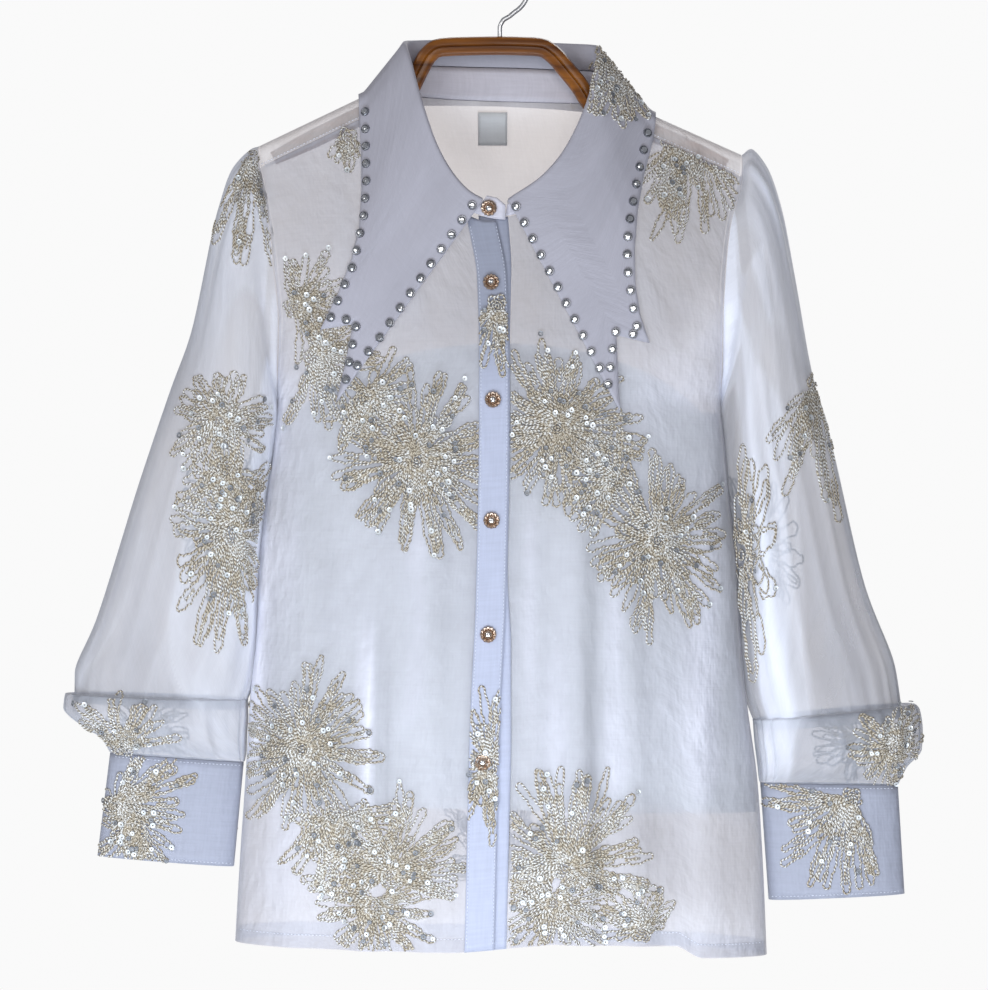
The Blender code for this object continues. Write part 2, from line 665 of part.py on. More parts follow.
def sleeve_grid(side, rings, folds, cuff, count):
    angles = np.linspace(0, 2 * math.pi, count, endpoint=False)
    loop = armhole_loop(side, angles)
    loop[:, 0] += side * ARMHOLE_GAP
    grid = [loop]
    head = np.cos(np.clip(np.degrees(np.angle(np.exp(1j * angles))) / HEAD_REACH, -1, 1) * math.pi / 2)
    for number, row in enumerate(rings):
        outer_x, outer_z, inner_x, inner_z, depth, head_gather, hang, cuff_gather = row
        points, out = ring((outer_x, outer_z), (inner_x, inner_z), depth, angles)
        along = (number + 1) / len(rings)
        push = head_gather * head * np.cos(3 * HEAD_GATHERS * angles / 2)
        push = push + hang * sleeve_folds(angles, along, folds)
        push = push + cuff_gather * np.cos(CUFF_GATHERS * angles)
        grid.append(points + out * push[:, None])
    grid.append(cuff_ring(cuff, 0.0, angles, rise=SEAM_GAP))
    return grid


def build_sleeves():
    cuff_angles = np.linspace(0, 2 * math.pi, CUFF_POINTS, endpoint=False)
    for side, word, rings, folds, cuff in (
        (-1, "right", LEFT_SLEEVE_RINGS, LEFT_SLEEVE_FOLDS, LEFT_CUFF),
        (1, "left", RIGHT_SLEEVE_RINGS, RIGHT_SLEEVE_FOLDS, RIGHT_CUFF),
    ):
        grid = sleeve_grid(side, rings, folds, cuff, SLEEVE_POINTS)
        sheet_object(f"sleeve_{word}", grid, "organza", SHEER_WALL, around=True, flip=side < 0)
        rows = [cuff_ring(cuff, along, cuff_angles) for along in np.linspace(0, 1, CUFF_ROWS)]
        sheet_object(f"cuff_{word}", rows, "cuff_cotton", CUFF_WALL, around=True, flip=side < 0)


def neck_seam():
    """The seam between body and collar, from the button tab round the back and forward again."""
    places = []

    def front_part(start, end):
        for x in np.linspace(start, end, 16):
            z = smooth(NECK_FRONT_X, NECK_FRONT_Z, x)
            places.append((x, float(front_y(x, z)), float(z)))

    def arch(x, start, end):
        level = float(shoulder_top(x)) - SHOULDER_RADIUS
        for turn in np.linspace(start, end, 7):
            places.append((x, SHOULDER_RADIUS * math.cos(turn), level + SHOULDER_RADIUS * math.sin(turn)))

    front_part(-STAND_END, -NECK_SIDE)
    arch(-NECK_SIDE, math.pi, 0)
    for x in np.linspace(-NECK_SIDE, NECK_SIDE, 21)[1:-1]:
        z = smooth(NECK_BACK_X, NECK_BACK_Z, x)
        places.append((x, float(back_y(x, z)), float(z)))
    arch(NECK_SIDE, 0, math.pi)
    front_part(NECK_SIDE, STAND_START)
    return np.array(places)


def seam_at(shares):
    seam = neck_seam()
    length = np.concatenate([[0], np.cumsum(np.linalg.norm(np.diff(seam, axis=0), axis=1))])
    at = np.asarray(shares) * length[-1]
    return np.stack([np.interp(at, length, seam[:, k]) for k in range(3)], axis=1)


def roll_at(shares, name=None):
    keys = column(ROLL_ROWS, ROLL_COLUMNS, "share")
    if name:
        return smooth(keys, column(ROLL_ROWS, ROLL_COLUMNS, name), shares)
    return np.stack([smooth(keys, column(ROLL_ROWS, ROLL_COLUMNS, k), shares) for k in "xyz"], axis=1)


def unit(vectors):
    return vectors / np.linalg.norm(vectors, axis=-1, keepdims=True)


def collar_frame(shares):
    """Seam point, stand's top, roll point, the way up and the way out at each share."""
    seam, roll = seam_at(shares), roll_at(shares)
    seam[:, 0] *= STAND_INSET
    up = unit(roll - seam)
    stand_top = seam + (roll - seam) * roll_at(shares, "stand")[:, None]
    along = unit(roll_at(np.clip(shares + 0.01, 0, 1)) - roll_at(np.clip(shares - 0.01, 0, 1)))
    out = unit(np.cross(up, along))
    return seam, stand_top, roll, up, out


def build_stand():
    """The neck band, whose right end is a tab that buttons over the left end."""
    shares = np.linspace(0, 1, STAND_COLUMNS + 1)
    seam, top, roll, up, out = collar_frame(shares)
    low = seam + up * STAND_LIFT
    rows = []
    for rise in (0.0, 0.5, 1.0):
        line = list(low + (top - low) * rise)
        tab = [np.array((x, y0 + (y1 - y0) * rise, z0 + (z1 - z0) * rise)) for x, y0, z0, y1, z1 in TAB_ROWS]
        rows.append(tab + line)
    sheet_object("collar_stand", rows, "collar_cotton", COLLAR_WALL)


def off_body(place, clearance):
    """The nearest place that lies this far outside the body."""
    x, y, z = place
    level = float(shoulder_top(x)) - SHOULDER_RADIUS
    if z < level:
        if y < 0:
            return np.array((x, min(y, float(front_y(x, z)) - clearance), z))
        return np.array((x, max(y, float(back_y(x, z)) + clearance), z))
    apart, least = math.hypot(y, z - level), SHOULDER_RADIUS + clearance + SHOULDER_EASE
    if abs(x) < NECK_SIDE or apart >= least:
        return np.array(place)
    return np.array((x, y * least / apart, level + (z - level) * least / apart))


def leaf_edge():
    """Shares and places of the leaf's outer edge, from its left points round to its right ones."""
    rows = [(share, x, float(front_y(x, z)) - LEAF_CLEARANCE, z) for share, x, z in LEAF_LEFT_EDGE]
    rows += LEAF_BACK_EDGE
    rows += [(share, x, float(front_y(x, z)) - LEAF_CLEARANCE, z) for share, x, z in LEAF_RIGHT_EDGE]
    rows = np.array(rows)
    return rows[:, 0], rows[:, 1:]


def leaf_grid(shares, edge, fall_rows):
    """The leaf rises from the stand, rolls over and falls to its outer edge."""
    seam, stand_top, roll, up, out = collar_frame(shares)
    centre = roll - up * ROLL_RADIUS + out * ROLL_RADIUS
    grid = [stand_top + up * LEAF_SEAM, centre - out * ROLL_RADIUS]
    for turn in (math.pi / 4, math.pi / 2, 3 * math.pi / 4):
        grid.append(centre - out * ROLL_RADIUS * math.cos(turn) + up * ROLL_RADIUS * math.sin(turn))
    leave = centre + out * ROLL_RADIUS
    for step in np.linspace(0, 1, fall_rows + 1):
        fall = leave + (edge - leave) * step
        grid.append(np.array([off_body(place, LEAF_CLEARANCE) if step else place for place in fall]))
    return grid


def stud_places(leaf):
    """Places and directions of the studs, spaced evenly just inside the leaf's front edges."""
    rows, columns = len(leaf), len(leaf[0])
    corners = [Vector(p) for row in leaf for p in row]
    faces = [(i * columns + j, i * columns + j + 1, (i + 1) * columns + j + 1, (i + 1) * columns + j)
             for i in range(rows - 1) for j in range(columns - 1)]
    surface = BVHTree.FromPolygons(corners, faces)
    found = []
    for xs, zs, count in ((STUD_LEFT_X, STUD_LEFT_Z, STUDS_LEFT), (STUD_RIGHT_X, STUD_RIGHT_Z, STUDS_RIGHT)):
        for x, _, z in resample(np.stack([xs, np.zeros(len(xs)), zs], axis=1), count):
            place, direction, _, _ = surface.ray_cast(Vector((x, -300, z)), Vector((0, 1, 0)))
            found.append((place, direction if direction.y < 0 else -direction))
    return found


def build_leaf():
    shares, edge = leaf_edge()
    leaf = leaf_grid(shares, edge, LEAF_ROWS)
    thing = sheet_object("collar_leaf", leaf, "collar_cotton", COLLAR_WALL)
    shape = bmesh.new()
    length = STUD_HEIGHT + STUD_SUNK
    for place, direction in stud_places(leaf):
        turn = Vector((0, 0, 1)).rotation_difference(direction).to_matrix().to_4x4()
        turn.translation = (place + direction * (STUD_HEIGHT - STUD_SUNK) / 2) * MM
        bmesh.ops.create_cone(shape, cap_ends=True, segments=STUD_SIDES, radius1=STUD_RADIUS * MM,
                              radius2=STUD_RADIUS * MM * 0.6, depth=length * MM, matrix=turn)
    mesh = bpy.data.meshes.new("stud_shapes")
    shape.to_mesh(mesh)
    shape.free()
    studs = bpy.data.objects.new("stud_shapes", mesh)
    studs.hide_render = True
    studs.display_type = "WIRE"
    bpy.data.collections["joined_shapes"].objects.link(studs)
    join = thing.modifiers.new("Studs", "BOOLEAN")
    join.operation = "UNION"
    join.object = studs


def build_lining():
    angles = np.linspace(0, 2 * math.pi, LINING_POINTS, endpoint=False)
    grid = []
    for step in np.linspace(0, 1, LINING_STEPS + 1):
        row = []
        for angle in angles:
            low = LINING_HEM_LEFT + (LINING_HEM_RIGHT - LINING_HEM_LEFT) * (math.sin(angle) + 1) / 2
            high = LINING_SIDE_TOP + LINING_RISE * max(0.0, abs(math.cos(angle)) - 0.4)
            z = low + (high - low) * step
            left, right = body_at(z, "left"), body_at(z, "right")
            x = (left + right) / 2 + (right - left) / 2 * math.sin(angle)
            half, folds, sign = ("front", FRONT_FOLDS, -1) if math.cos(angle) > 0 else ("back", BACK_FOLDS, 1)
            y = sign * LINING_HANG * float(body_depth(x, z, half, folds))
            row.append((x - LINING_EASE * math.sin(angle), y, z))
        grid.append(row)
    sheet_object("lining", grid, "lining_voile", LINING_WALL, around=True)


def build_label():
    grid = []
    for z in np.linspace(LABEL_Z[0], LABEL_Z[1], 3):
        grid.append([(x, float(back_y(x, z)) - SHEER_WALL - LABEL_GAP, z) for x in np.linspace(*LABEL_X, 4)])
    sheet_object("neck_label", grid, "label_satin", LABEL_WALL, flip=True)


def surface_direction(surface, x, z):
    """Outward direction of a surface y = surface(x, z) that faces the front."""
    step = 1.0
    slope_x = (surface(x + step, z) - surface(x - step, z)) / (2 * step)
    slope_z = (surface(x, z + step) - surface(x, z - step)) / (2 * step)
    return Vector((float(slope_x), -1.0, float(slope_z))).normalized()


def build_buttons():
    def band(x, z):
        return float(front_y(x, z)) - TOP_BAND_LIFT

    def tab(x, z):
        share = (z - TAB_ROWS[1][2]) / (TAB_ROWS[1][4] - TAB_ROWS[1][2])
        return TAB_ROWS[1][1] + (TAB_ROWS[1][3] - TAB_ROWS[1][1]) * share - COLLAR_WALL

    seats = [(NECK_BUTTON[0], NECK_BUTTON[1], tab)]
    seats += [(float(band_middle(z)) + BUTTON_SHIFT, z, band) for z in BUTTON_Z]
    for number, (x, z, surface) in enumerate(seats, start=1):
        out = surface_direction(surface, x, z)
        shape = bmesh.new()
        spots = [shape.verts.new((radius * MM, 0, height * MM)) for radius, height in BUTTON_PROFILE]
        for upper, lower in zip(spots, spots[1:]):
            shape.edges.new((upper, lower))
        button = mesh_object(f"button_{number}", shape, "button_gold")
        turned = button.modifiers.new("Turned", "SCREW")
        turned.steps = turned.render_steps = BUTTON_STEPS
        turned.use_merge_vertices = True
        turned.merge_threshold = 0.0001
        seat = Vector((x, surface(x, z), z)) + out * BUTTON_GAP
        button.location = seat * MM
        button.rotation_mode = "QUATERNION"
        button.rotation_quaternion = Vector((0, 0, 1)).rotation_difference(out)


def build_hanger():
    line = np.stack([HANGER_X, HANGER_Z], axis=1).astype(float)
    along = np.gradient(line, axis=0)
    runs = np.diff(line, axis=0)
    runs = runs / np.linalg.norm(runs, axis=1, keepdims=True)
    along[1:-1] = runs[:-1] + runs[1:]
    along = along / np.linalg.norm(along, axis=1, keepdims=True)
    up = np.stack([-along[:, 1], along[:, 0]], axis=1)
    outline = np.concatenate([line + up * HANGER_HALF_HEIGHT, (line - up * HANGER_HALF_HEIGHT)[::-1]])
    shape = bmesh.new()
    near = [shape.verts.new((x * MM, -HANGER_THICKNESS / 2 * MM, z * MM)) for x, z in outline]
    face = shape.faces.new(near[::-1])
    moved = bmesh.ops.extrude_face_region(shape, geom=[face])["geom"]
    corners = [v for v in moved if isinstance(v, bmesh.types.BMVert)]
    bmesh.ops.translate(shape, verts=corners, vec=(0, HANGER_THICKNESS * MM, 0))
    bmesh.ops.recalc_face_normals(shape, faces=shape.faces)
    hanger = mesh_object("hanger", shape, "hanger_wood")
    rounded = hanger.modifiers.new("Rounded", "BEVEL")
    rounded.width = HANGER_ROUNDING * MM
    rounded.segments = 2
    rounded.limit_method = "ANGLE"
    rounded.angle_limit = math.radians(40)


def build_hook():
    wire = HOOK_RADIUS + HOOK_WIRE / 2
    turns = np.radians(np.linspace(*HOOK_ARC, HOOK_STEPS + 1))
    route = list(HOOK_STEM)
    route += [(wire * math.cos(turn), wire * math.sin(turn) - HOOK_RADIUS) for turn in turns]
    curve = bpy.data.curves.new("hanger_hook", "CURVE")
    curve.dimensions = "3D"
    curve.bevel_depth = HOOK_WIRE / 2 * MM
    curve.bevel_resolution = 2
    curve.use_fill_caps = True
    spline = curve.splines.new("POLY")
    spline.points.add(len(route) - 1)
    for point, (x, z) in zip(spline.points, route):
        point.co = (x * MM, 0, z * MM, 1)
    hook = bpy.data.objects.new("hanger_hook", curve)
    bpy.data.collections["flared_sleeve_shirt"].objects.link(hook)
    curve.materials.append(finish_material("hook_steel"))


def main():
    for thing in list(bpy.data.objects):
        bpy.data.objects.remove(thing)
    for name in ("flared_sleeve_shirt", "joined_shapes"):
        bpy.context.scene.collection.children.link(bpy.data.collections.new(name))
    build_body()
    build_bands()
    build_sleeves()
    build_stand()
    build_leaf()
    build_lining()
    build_label()
    build_buttons()
    build_hanger()
    build_hook()


main()
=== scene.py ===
# %% [markdown]
# # A sheer embroidered shirt with flared sleeves, on its hanger
#
# A shirt like this is cut from crisp sheer organza. Only the collar, the cuffs and the
# button bands are doubled and look solid. We build every panel from the sections that it
# was cut for, at a finer step than the solid model, so that folds, gathers and seams show.
# Then we lay the embroidery on the finished panels, as real cord, and sew on the sequins,
# stones, stitches and buttons.
#
# Everything is worked out in millimetres and becomes metres when a mesh is made.

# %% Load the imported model
import math
import random

import bmesh
import bpy
import numpy as np
from mathutils import Matrix, Vector
from mathutils.bvhtree import BVHTree


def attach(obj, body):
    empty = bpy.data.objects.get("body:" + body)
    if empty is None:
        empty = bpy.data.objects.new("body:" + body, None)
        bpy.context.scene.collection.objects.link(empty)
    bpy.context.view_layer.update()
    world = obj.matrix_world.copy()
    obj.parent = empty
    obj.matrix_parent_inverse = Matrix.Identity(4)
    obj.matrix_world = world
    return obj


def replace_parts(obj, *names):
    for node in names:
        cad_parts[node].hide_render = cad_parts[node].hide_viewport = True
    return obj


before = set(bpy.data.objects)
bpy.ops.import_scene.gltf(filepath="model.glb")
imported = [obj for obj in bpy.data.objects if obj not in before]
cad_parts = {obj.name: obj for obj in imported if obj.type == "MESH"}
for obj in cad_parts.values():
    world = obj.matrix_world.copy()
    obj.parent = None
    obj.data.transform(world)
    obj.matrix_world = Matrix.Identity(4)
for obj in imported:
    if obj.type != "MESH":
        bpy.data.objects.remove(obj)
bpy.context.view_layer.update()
MM = 0.001

# %% [markdown]
# ## The sizes
#
# A pattern cutter keeps one table of sizes, and every panel is drawn from it. The solid
# model is built from the same tables. Some rows are finer here, or lie a few millimetres
# off where the photograph asks for it, so each visible piece still lands on its solid. In
# the tables left and right are as seen from the front. Folds are rows as well: where a
# fold starts, where it ends, how deep and how wide it is.

# %% Sizes of the shirt and its hanger
SEAM_GAP = 0.4
SIDE_SEAM = 0.65

# Wall thickness of each cloth.
SHEER_WALL = 1.2
BAND_WALL = 1.4
COLLAR_WALL = 1.6
CUFF_WALL = 2

# Body sections from hem to shoulder: side edges and the depth of each half.
BODY_COLUMNS = ("height", "left", "right", "front", "back")
BODY_ROWS = (
    (-745, -199, 200, 64, 64), (-675, -195, 197, 63, 63), (-615, -191, 193, 62, 62),
    (-555, -187.5, 185, 60, 61), (-500, -182.5, 180, 59, 60), (-450, -180.5, 177.5, 58, 59),
    (-400, -175, 171.5, 57, 58), (-365, -169.5, 169, 56, 57), (-330, -167, 165.5, 54, 56),
    (-270, -164.5, 165.5, 49, 52), (-235, -167.5, 167, 45, 48), (-195, -172, 171, 38, 42),
    (-155, -180.5, 181, 30, 34),
)
BODY_FULLNESS = 2.4

# Top of the shoulders, the hanger's arms lie just under it.
SHOULDER_X = (-181.5, -79, 0, 79, 182)
SHOULDER_Z = (-140, -91, -84, -100.5, -146.5)
SHOULDER_RADIUS = 8.4
SHOULDER_DROP = 110
SHOULDER_ROUNDING = 2.2
SHOULDER_SEAM = 9
NECK_SIDE = 79

# Armholes reach from the shoulder's end down to the underarm.
UNDERARM = -330
ARMHOLE_DEPTH = 31
ARMHOLE_ROUNDING = 0.75
ARMHOLE_GAP = 0.6

# Neck seam, seen from the front and from the back.
NECK_FRONT_X = (-79, -74, -64, -44, -27, -10, 2, 20, 38, 58, 70, 79)
NECK_FRONT_Z = (-108, -122.5, -145, -175, -189, -195, -195, -191, -179, -154, -132.5, -117.3)
NECK_BACK_X = (-79, -60, -30, 0, 30, 60, 79)
NECK_BACK_Z = (-99.4, -102, -104, -105, -106, -107, -108.4)

# Hems. The left front is a little shorter beside its band, as the shirt hangs.
HEM_X = (-199, -30, 5, 39, 132, 146, 200)
HEM_Z = (-735, -738, -735, -732, -734, -743, -745)
BACK_HEM_X = (-199, 0, 200)
BACK_HEM_Z = (-736, -742, -747)
BODY_HEM = -742
HEM_REACH = 150

# Levels at which the body panels have a row of points, and their columns.
BODY_HEIGHTS = (
    *np.linspace(-740, UNDERARM, 60)[:-1], *np.linspace(UNDERARM, -188, 30)[:-1],
    *np.linspace(-188, -151.65, 11),
)
FRONT_COLUMNS = 26
SIDE_COLUMNS = 26
WRAP_STEPS = 10

# Soft folds that hang in the body: x at the top and at the hem, height of the top, depth, width.
FRONT_FOLDS = (
    (-140, -158, -400, 7, 15), (-95, -101, -500, 9, 13), (-50, -56, -430, 5, 13), (60, 58, -320, 7, 14),
    (92, 104, -380, 8, 13), (140, 158, -440, 8, 15), (-97, -93, -540, 2.2, 2.6), (-120, -128, -360, 1.6, 6),
    (-72, -78, -330, 1.8, 7), (-34, -38, -560, 2, 6), (30, 26, -420, 1.6, 7), (76, 82, -300, 2, 6),
    (112, 128, -300, 1.8, 7), (60, 66, -480, 1.5, 4), (150, 176, -560, 2.5, 7), (-160, -180, -520, 2.5, 7),
)
BACK_FOLDS = (
    (-138, -156, -380, 9, 16), (-84, -96, -300, 8, 15), (-30, -34, -420, 6, 15), (28, 30, -260, 8, 16),
    (84, 92, -400, 9, 15), (136, 154, -340, 8, 16), (-112, -122, -300, 2, 6), (-56, -64, -340, 2.2, 7),
    (0, -4, -300, 2, 7), (55, 60, -360, 1.8, 5), (110, 122, -320, 2, 7), (160, 180, -520, 2.5, 7),
    (-160, -180, -520, 2.5, 7),
)
FOLD_RAMP = 160

# Button bands: the middle of the top band, and how far the under band shows.
BAND_Z = (-745, -565, -480, -340, -300, -240, -195)
BAND_X = (-15.4, -11, -7, -4.5, -4.5, -6, -14)
BAND_HALF = 11
BAND_LAP = 1.6
UNDER_BAND = 22
UNDER_Z = (-745, -600, -520, -450, -300, -245, -195)
UNDER_SHOWS = (9, 9, 6, 0.8, 0.8, 3, 9)
TOP_BAND_LIFT = BAND_WALL + 0.4
BAND_COLUMNS = 8
BAND_SHORT = 3.2

# Sleeve rings below the armhole: outer and inner edge, half depth, and how strong
# the head gathers, the hanging folds and the cuff gathers are there.
LEFT_SLEEVE_RINGS = (
    (-186, -142.5, -168.8, -334, 34, 2, 0, 0), (-200.5, -158.5, -168.2, -340, 40, 3, 0, 0),
    (-212, -190, -169.3, -350, 43, 2, 0.2, 0), (-232, -280, -175, -392, 43, 0.5, 0.6, 0),
    (-247, -322, -178.2, -420, 42, 0, 0.8, 0), (-270, -390, -181.8, -460, 41, 0, 1, 0),
    (-303, -495, -184.6, -520, 40, 0, 0.9, 0), (-319, -535, -188.4, -545, 38.5, 0, 0.6, 0.5),
    (-319, -556, -196, -562, 36, 0, 0.2, 1), (-322, -549.5, -193, -554, 39.5, 0, 0.1, 1),
    (-325.5, -550, -190.2, -555, 43.5, 0, 0.1, 1.2), (-327, -561, -190.2, -566, 45.5, 0, 0.1, 1.6),
    (-314, -573.5, -191.6, -581, 42, 0, 0, 2.2), (-298, -584, -192, -593, 31, 0, 0, 2.2),
)
RIGHT_SLEEVE_RINGS = (
    (188, -143.5, 167.4, -334, 34, 2, 0, 0), (200, -158, 167.2, -340, 41, 3, 0, 0),
    (211, -188, 168.3, -350, 44, 2, 0.2, 0), (221.5, -240, 170.2, -370, 44, 0.8, 0.5, 0),
    (234, -309, 173.6, -410, 42, 0, 0.8, 0), (250, -368, 177.6, -445, 41, 0, 1, 0),
    (274, -470, 181.8, -512, 40, 0, 1, 0), (296, -529, 185.6, -550, 38.5, 0, 0.6, 0.5),
    (303, -568, 196, -577, 36, 0, 0.2, 1), (309.5, -557.5, 193, -569, 39.5, 0, 0.1, 1),
    (314, -561, 190.2, -570, 43.5, 0, 0.1, 1.2), (316.5, -577, 191.4, -584, 45.5, 0, 0.1, 1.6),
    (315.5, -592, 193.6, -599, 42, 0, 0, 2.2), (304, -606, 194.9, -610, 31, 0, 0, 2.2),
)
SLEEVE_POINTS = 192
HEAD_GATHERS = 8
HEAD_REACH = 75
CUFF_GATHERS = 16

# Long folds of a sleeve, by angle: 0 is the outer edge, 90 the front, 180 the body side.
# Each row: angle at the top and at the cuff, where it starts along the sleeve, depth, width.
LEFT_SLEEVE_FOLDS = (
    (140, 128, 0.15, 7, 13), (80, 95, 0.3, 5, 14), (52, 40, 0.35, 4, 14), (225, 235, 0.2, 6, 15),
    (290, 300, 0.3, 5, 16), (120, 112, 0.05, 2.6, 5), (158, 150, 0.02, 2.8, 6), (100, 70, 0.3, 2, 5),
    (66, 60, 0.15, 1.8, 5), (30, 22, 0.35, 2.2, 6), (255, 250, 0.15, 2.4, 6), (205, 215, 0.05, 2.6, 6),
    (325, 335, 0.25, 2.2, 6),
)
RIGHT_SLEEVE_FOLDS = (
    (112, 132, 0.05, 9, 13), (70, 78, 0.45, 5, 13), (40, 34, 0.5, 4, 13), (230, 222, 0.2, 6, 15),
    (285, 300, 0.3, 5, 16), (138, 150, 0.02, 3, 6), (92, 104, 0.1, 2.6, 5), (84, 58, 0.25, 2.2, 5),
    (56, 46, 0.15, 1.8, 5), (24, 18, 0.3, 2.2, 6), (260, 252, 0.15, 2.4, 6), (205, 212, 0.05, 2.6, 6),
    (330, 338, 0.25, 2.2, 6),
)

# Cuffs at the sleeve seam and at the wrist: outer x and z, inner x and z, half depth.
LEFT_CUFF = ((-292.5, -594.5, -192.2, -601.5, 15), (-302, -671.5, -199.5, -679.5, 16))
RIGHT_CUFF = ((298.5, -618.5, 195.2, -617, 15), (303.5, -700, 201.5, -704.5, 16))
CUFF_POINTS = 96
CUFF_ROWS = 12
CUFF_SQUARENESS = 0.8

# Roll line of the collar, left end to right end: share of the way round the neck seam,
# and place. The stand reaches part of the way from the neck seam to the roll.
ROLL_COLUMNS = ("share", "x", "y", "z", "stand")
ROLL_ROWS = (
    (0, -12.8, -41.5, -181, 0.68), (0.05, -22.7, -43, -174.5, 0.7), (0.1, -34.5, -41, -161, 0.72),
    (0.15, -45.9, -37, -140, 0.75), (0.2, -55.3, -31, -113, 0.7), (0.24, -60.7, -24, -94, 0.66),
    (0.27, -65.6, -15, -75, 0.62), (0.3, -69.1, -3, -63, 0.58), (0.35, -66.1, 10, -59, 0.55),
    (0.42, -39.5, 21, -57, 0.54), (0.5, 0, 25, -57, 0.54), (0.58, 41.5, 22, -59, 0.54),
    (0.65, 68.1, 11, -62, 0.55), (0.7, 72.1, -2, -67, 0.58), (0.74, 70.1, -15, -81, 0.62),
    (0.78, 66.1, -24, -100, 0.66), (0.82, 57.2, -31, -124, 0.7), (0.87, 43.4, -37.5, -149, 0.75),
    (0.92, 26.6, -41, -167, 0.72), (1, 5.9, -42, -181, 0.68),
)
ROLL_RADIUS = 2.3
STAND_END = 16
STAND_START = 4
STAND_COLUMNS = 120
STAND_INSET = 0.972
STAND_LIFT = 0.8

# The stand's buttoned tab: place, then depth and height of its lower and upper edge.
TAB_ROWS = (
    (4, -41, -197, -46, -186.5), (-2, -40.5, -196.5, -45.5, -181.5),
    (-9.5, -39.4, -195.3, -43.6, -179.5),
)

# Outer edge of the collar leaf: share of the way round, then its place. The front rows, in
# x and z, lie on the fronts. The back rows, in x, y and z, hang free.
LEAF_LEFT_EDGE = (
    (0, -121.4, -333), (0.035, -114, -302), (0.07, -108.6, -275), (0.09, -120.4, -277),
    (0.11, -133.2, -279), (0.135, -120.4, -253), (0.16, -110.5, -228), (0.185, -104.6, -203),
    (0.215, -103.1, -175), (0.245, -103.6, -145), (0.275, -105.1, -122),
)
LEAF_RIGHT_EDGE = (
    (0.725, 114.5, -136), (0.755, 107.6, -162), (0.785, 102.2, -190), (0.815, 99.7, -220),
    (0.84, 100.2, -246), (0.865, 103.6, -268), (0.89, 110.5, -289), (0.912, 97.7, -286),
    (0.932, 85.9, -283), (0.965, 87.3, -312), (1, 88.8, -340),
)
LEAF_BACK_EDGE = (
    (0.287, -105.6, -8, -108.5), (0.3, -106.4, 0, -104), (0.313, -102.6, 9, -106),
    (0.33, -96.7, 16.5, -107), (0.38, -73, 26, -107), (0.44, -35.5, 30, -106.5),
    (0.5, 0, 31, -107), (0.56, 37.5, 30, -109), (0.62, 78, 26, -113),
    (0.67, 106.6, 16.5, -117), (0.687, 114.5, 9, -118), (0.7, 117, 0, -117),
    (0.713, 116.5, -8, -122),
)
LEAF_CLEARANCE = 2.6
LEAF_SEAM = 0.9
SHOULDER_EASE = 0.9
LEAF_ROWS = 16

# Studs: the line that they follow just inside each leaf's edge, and how many.
STUD_LEFT_X = (-100.7, -99.2, -100.7, -108.6, -125.8, -117, -105.6, -110.5, -114, -88.8, -47.4, -20.7)
STUD_LEFT_Z = (-115, -167, -193, -231, -271, -271.5, -272, -297, -316, -285, -225, -187)
STUD_RIGHT_X = (110.1, 102.6, 94.8, 93.8, 98.2, 102.6, 94.8, 84.9, 82.4, 79.9, 49.4, 11.8)
STUD_RIGHT_Z = (-131, -162, -204, -231, -262, -285, -280.5, -281, -297, -320, -261, -188)
STUDS_LEFT = 30
STUDS_RIGHT = 28

# Buttons down the middle of the top band, and one on the stand.
BUTTON_Z = (-244, -331, -420, -504, -598)
BUTTON_GAP = 0.35
BUTTON_SHIFT = -0.8
NECK_BUTTON = (-8, -188.5)

# Inner lining that shows through the body.
LINING_HEM_LEFT = -629
LINING_HEM_RIGHT = -638
LINING_SIDE_TOP = -340
LINING_RISE = 85
LINING_LEVEL = 0.4
LINING_EASE = 2.5
LINING_HANG = 0.88
LINING_POINTS = 160
LINING_STEPS = 40

# Plain neck label under the collar's back seam.
LABEL_X = (-16.5, 5.5)
LABEL_Z = (-137, -112.8)
LABEL_GAP = 1.1

# Wooden hanger: middle line of its arms, then the wire hook.
HANGER_X = (-170, -90, -78, -69, -62, -55, -47, 0, 32, 41, 51, 60, 67, 76, 88, 170)
HANGER_Z = (
    -148.7, -109.7, -106, -100.5, -85.5, -72, -65, -64, -65, -71.5, -83.5, -94.5, -106.5, -114.5,
    -117.2, -153.8,
)
HOOK_WIRE = 3.6
HOOK_RADIUS = 20
HOOK_STEM = ((0, -59.1), (0, -50), (2.5, -44.8))
HOOK_ARC = (-58, 200)

# %% [markdown]
# ## The body's sections
#
# Cut the body across at any height and you get a soft lens between the two side seams.
# `front_y` and `back_y` give the depth of that lens at any place, with the hanging folds
# added. Every panel, band, pocket of embroidery and button asks these two functions where
# the cloth is, which is why they all meet.

# %% Curves and sections
def smooth(keys, values, at):
    """Value of the smooth curve through the points (keys, values). It never overshoots."""
    keys, values = np.asarray(keys, float), np.asarray(values, float)
    at = np.clip(np.asarray(at, float), keys[0], keys[-1])
    step = np.diff(keys)
    rise = np.diff(values) / step
    slope = np.zeros_like(values)
    slope[0], slope[-1] = rise[0], rise[-1]
    turning = rise[:-1] * rise[1:] <= 0
    total = np.where(turning, 1.0, rise[:-1] + rise[1:])
    slope[1:-1] = np.where(turning, 0.0, 2 * rise[:-1] * rise[1:] / total)
    i = np.clip(np.searchsorted(keys, at) - 1, 0, len(step) - 1)
    t = (at - keys[i]) / step[i]
    start = values[i] * (1 + 2 * t) * (1 - t) ** 2 + slope[i] * step[i] * t * (1 - t) ** 2
    end = values[i + 1] * t**2 * (3 - 2 * t) - slope[i + 1] * step[i] * t**2 * (1 - t)
    return start + end

def on_line(at, keys, line):
    """Places on a line of points at these values of its key."""
    line = np.asarray(line, float)
    return np.stack([np.interp(at, keys, line[:, k]) for k in range(line.shape[1])], axis=1)

def lengths_of(line):
    """Length of a line of points up to each of them."""
    return np.concatenate([[0], np.cumsum(np.linalg.norm(np.diff(line, axis=0), axis=1))])

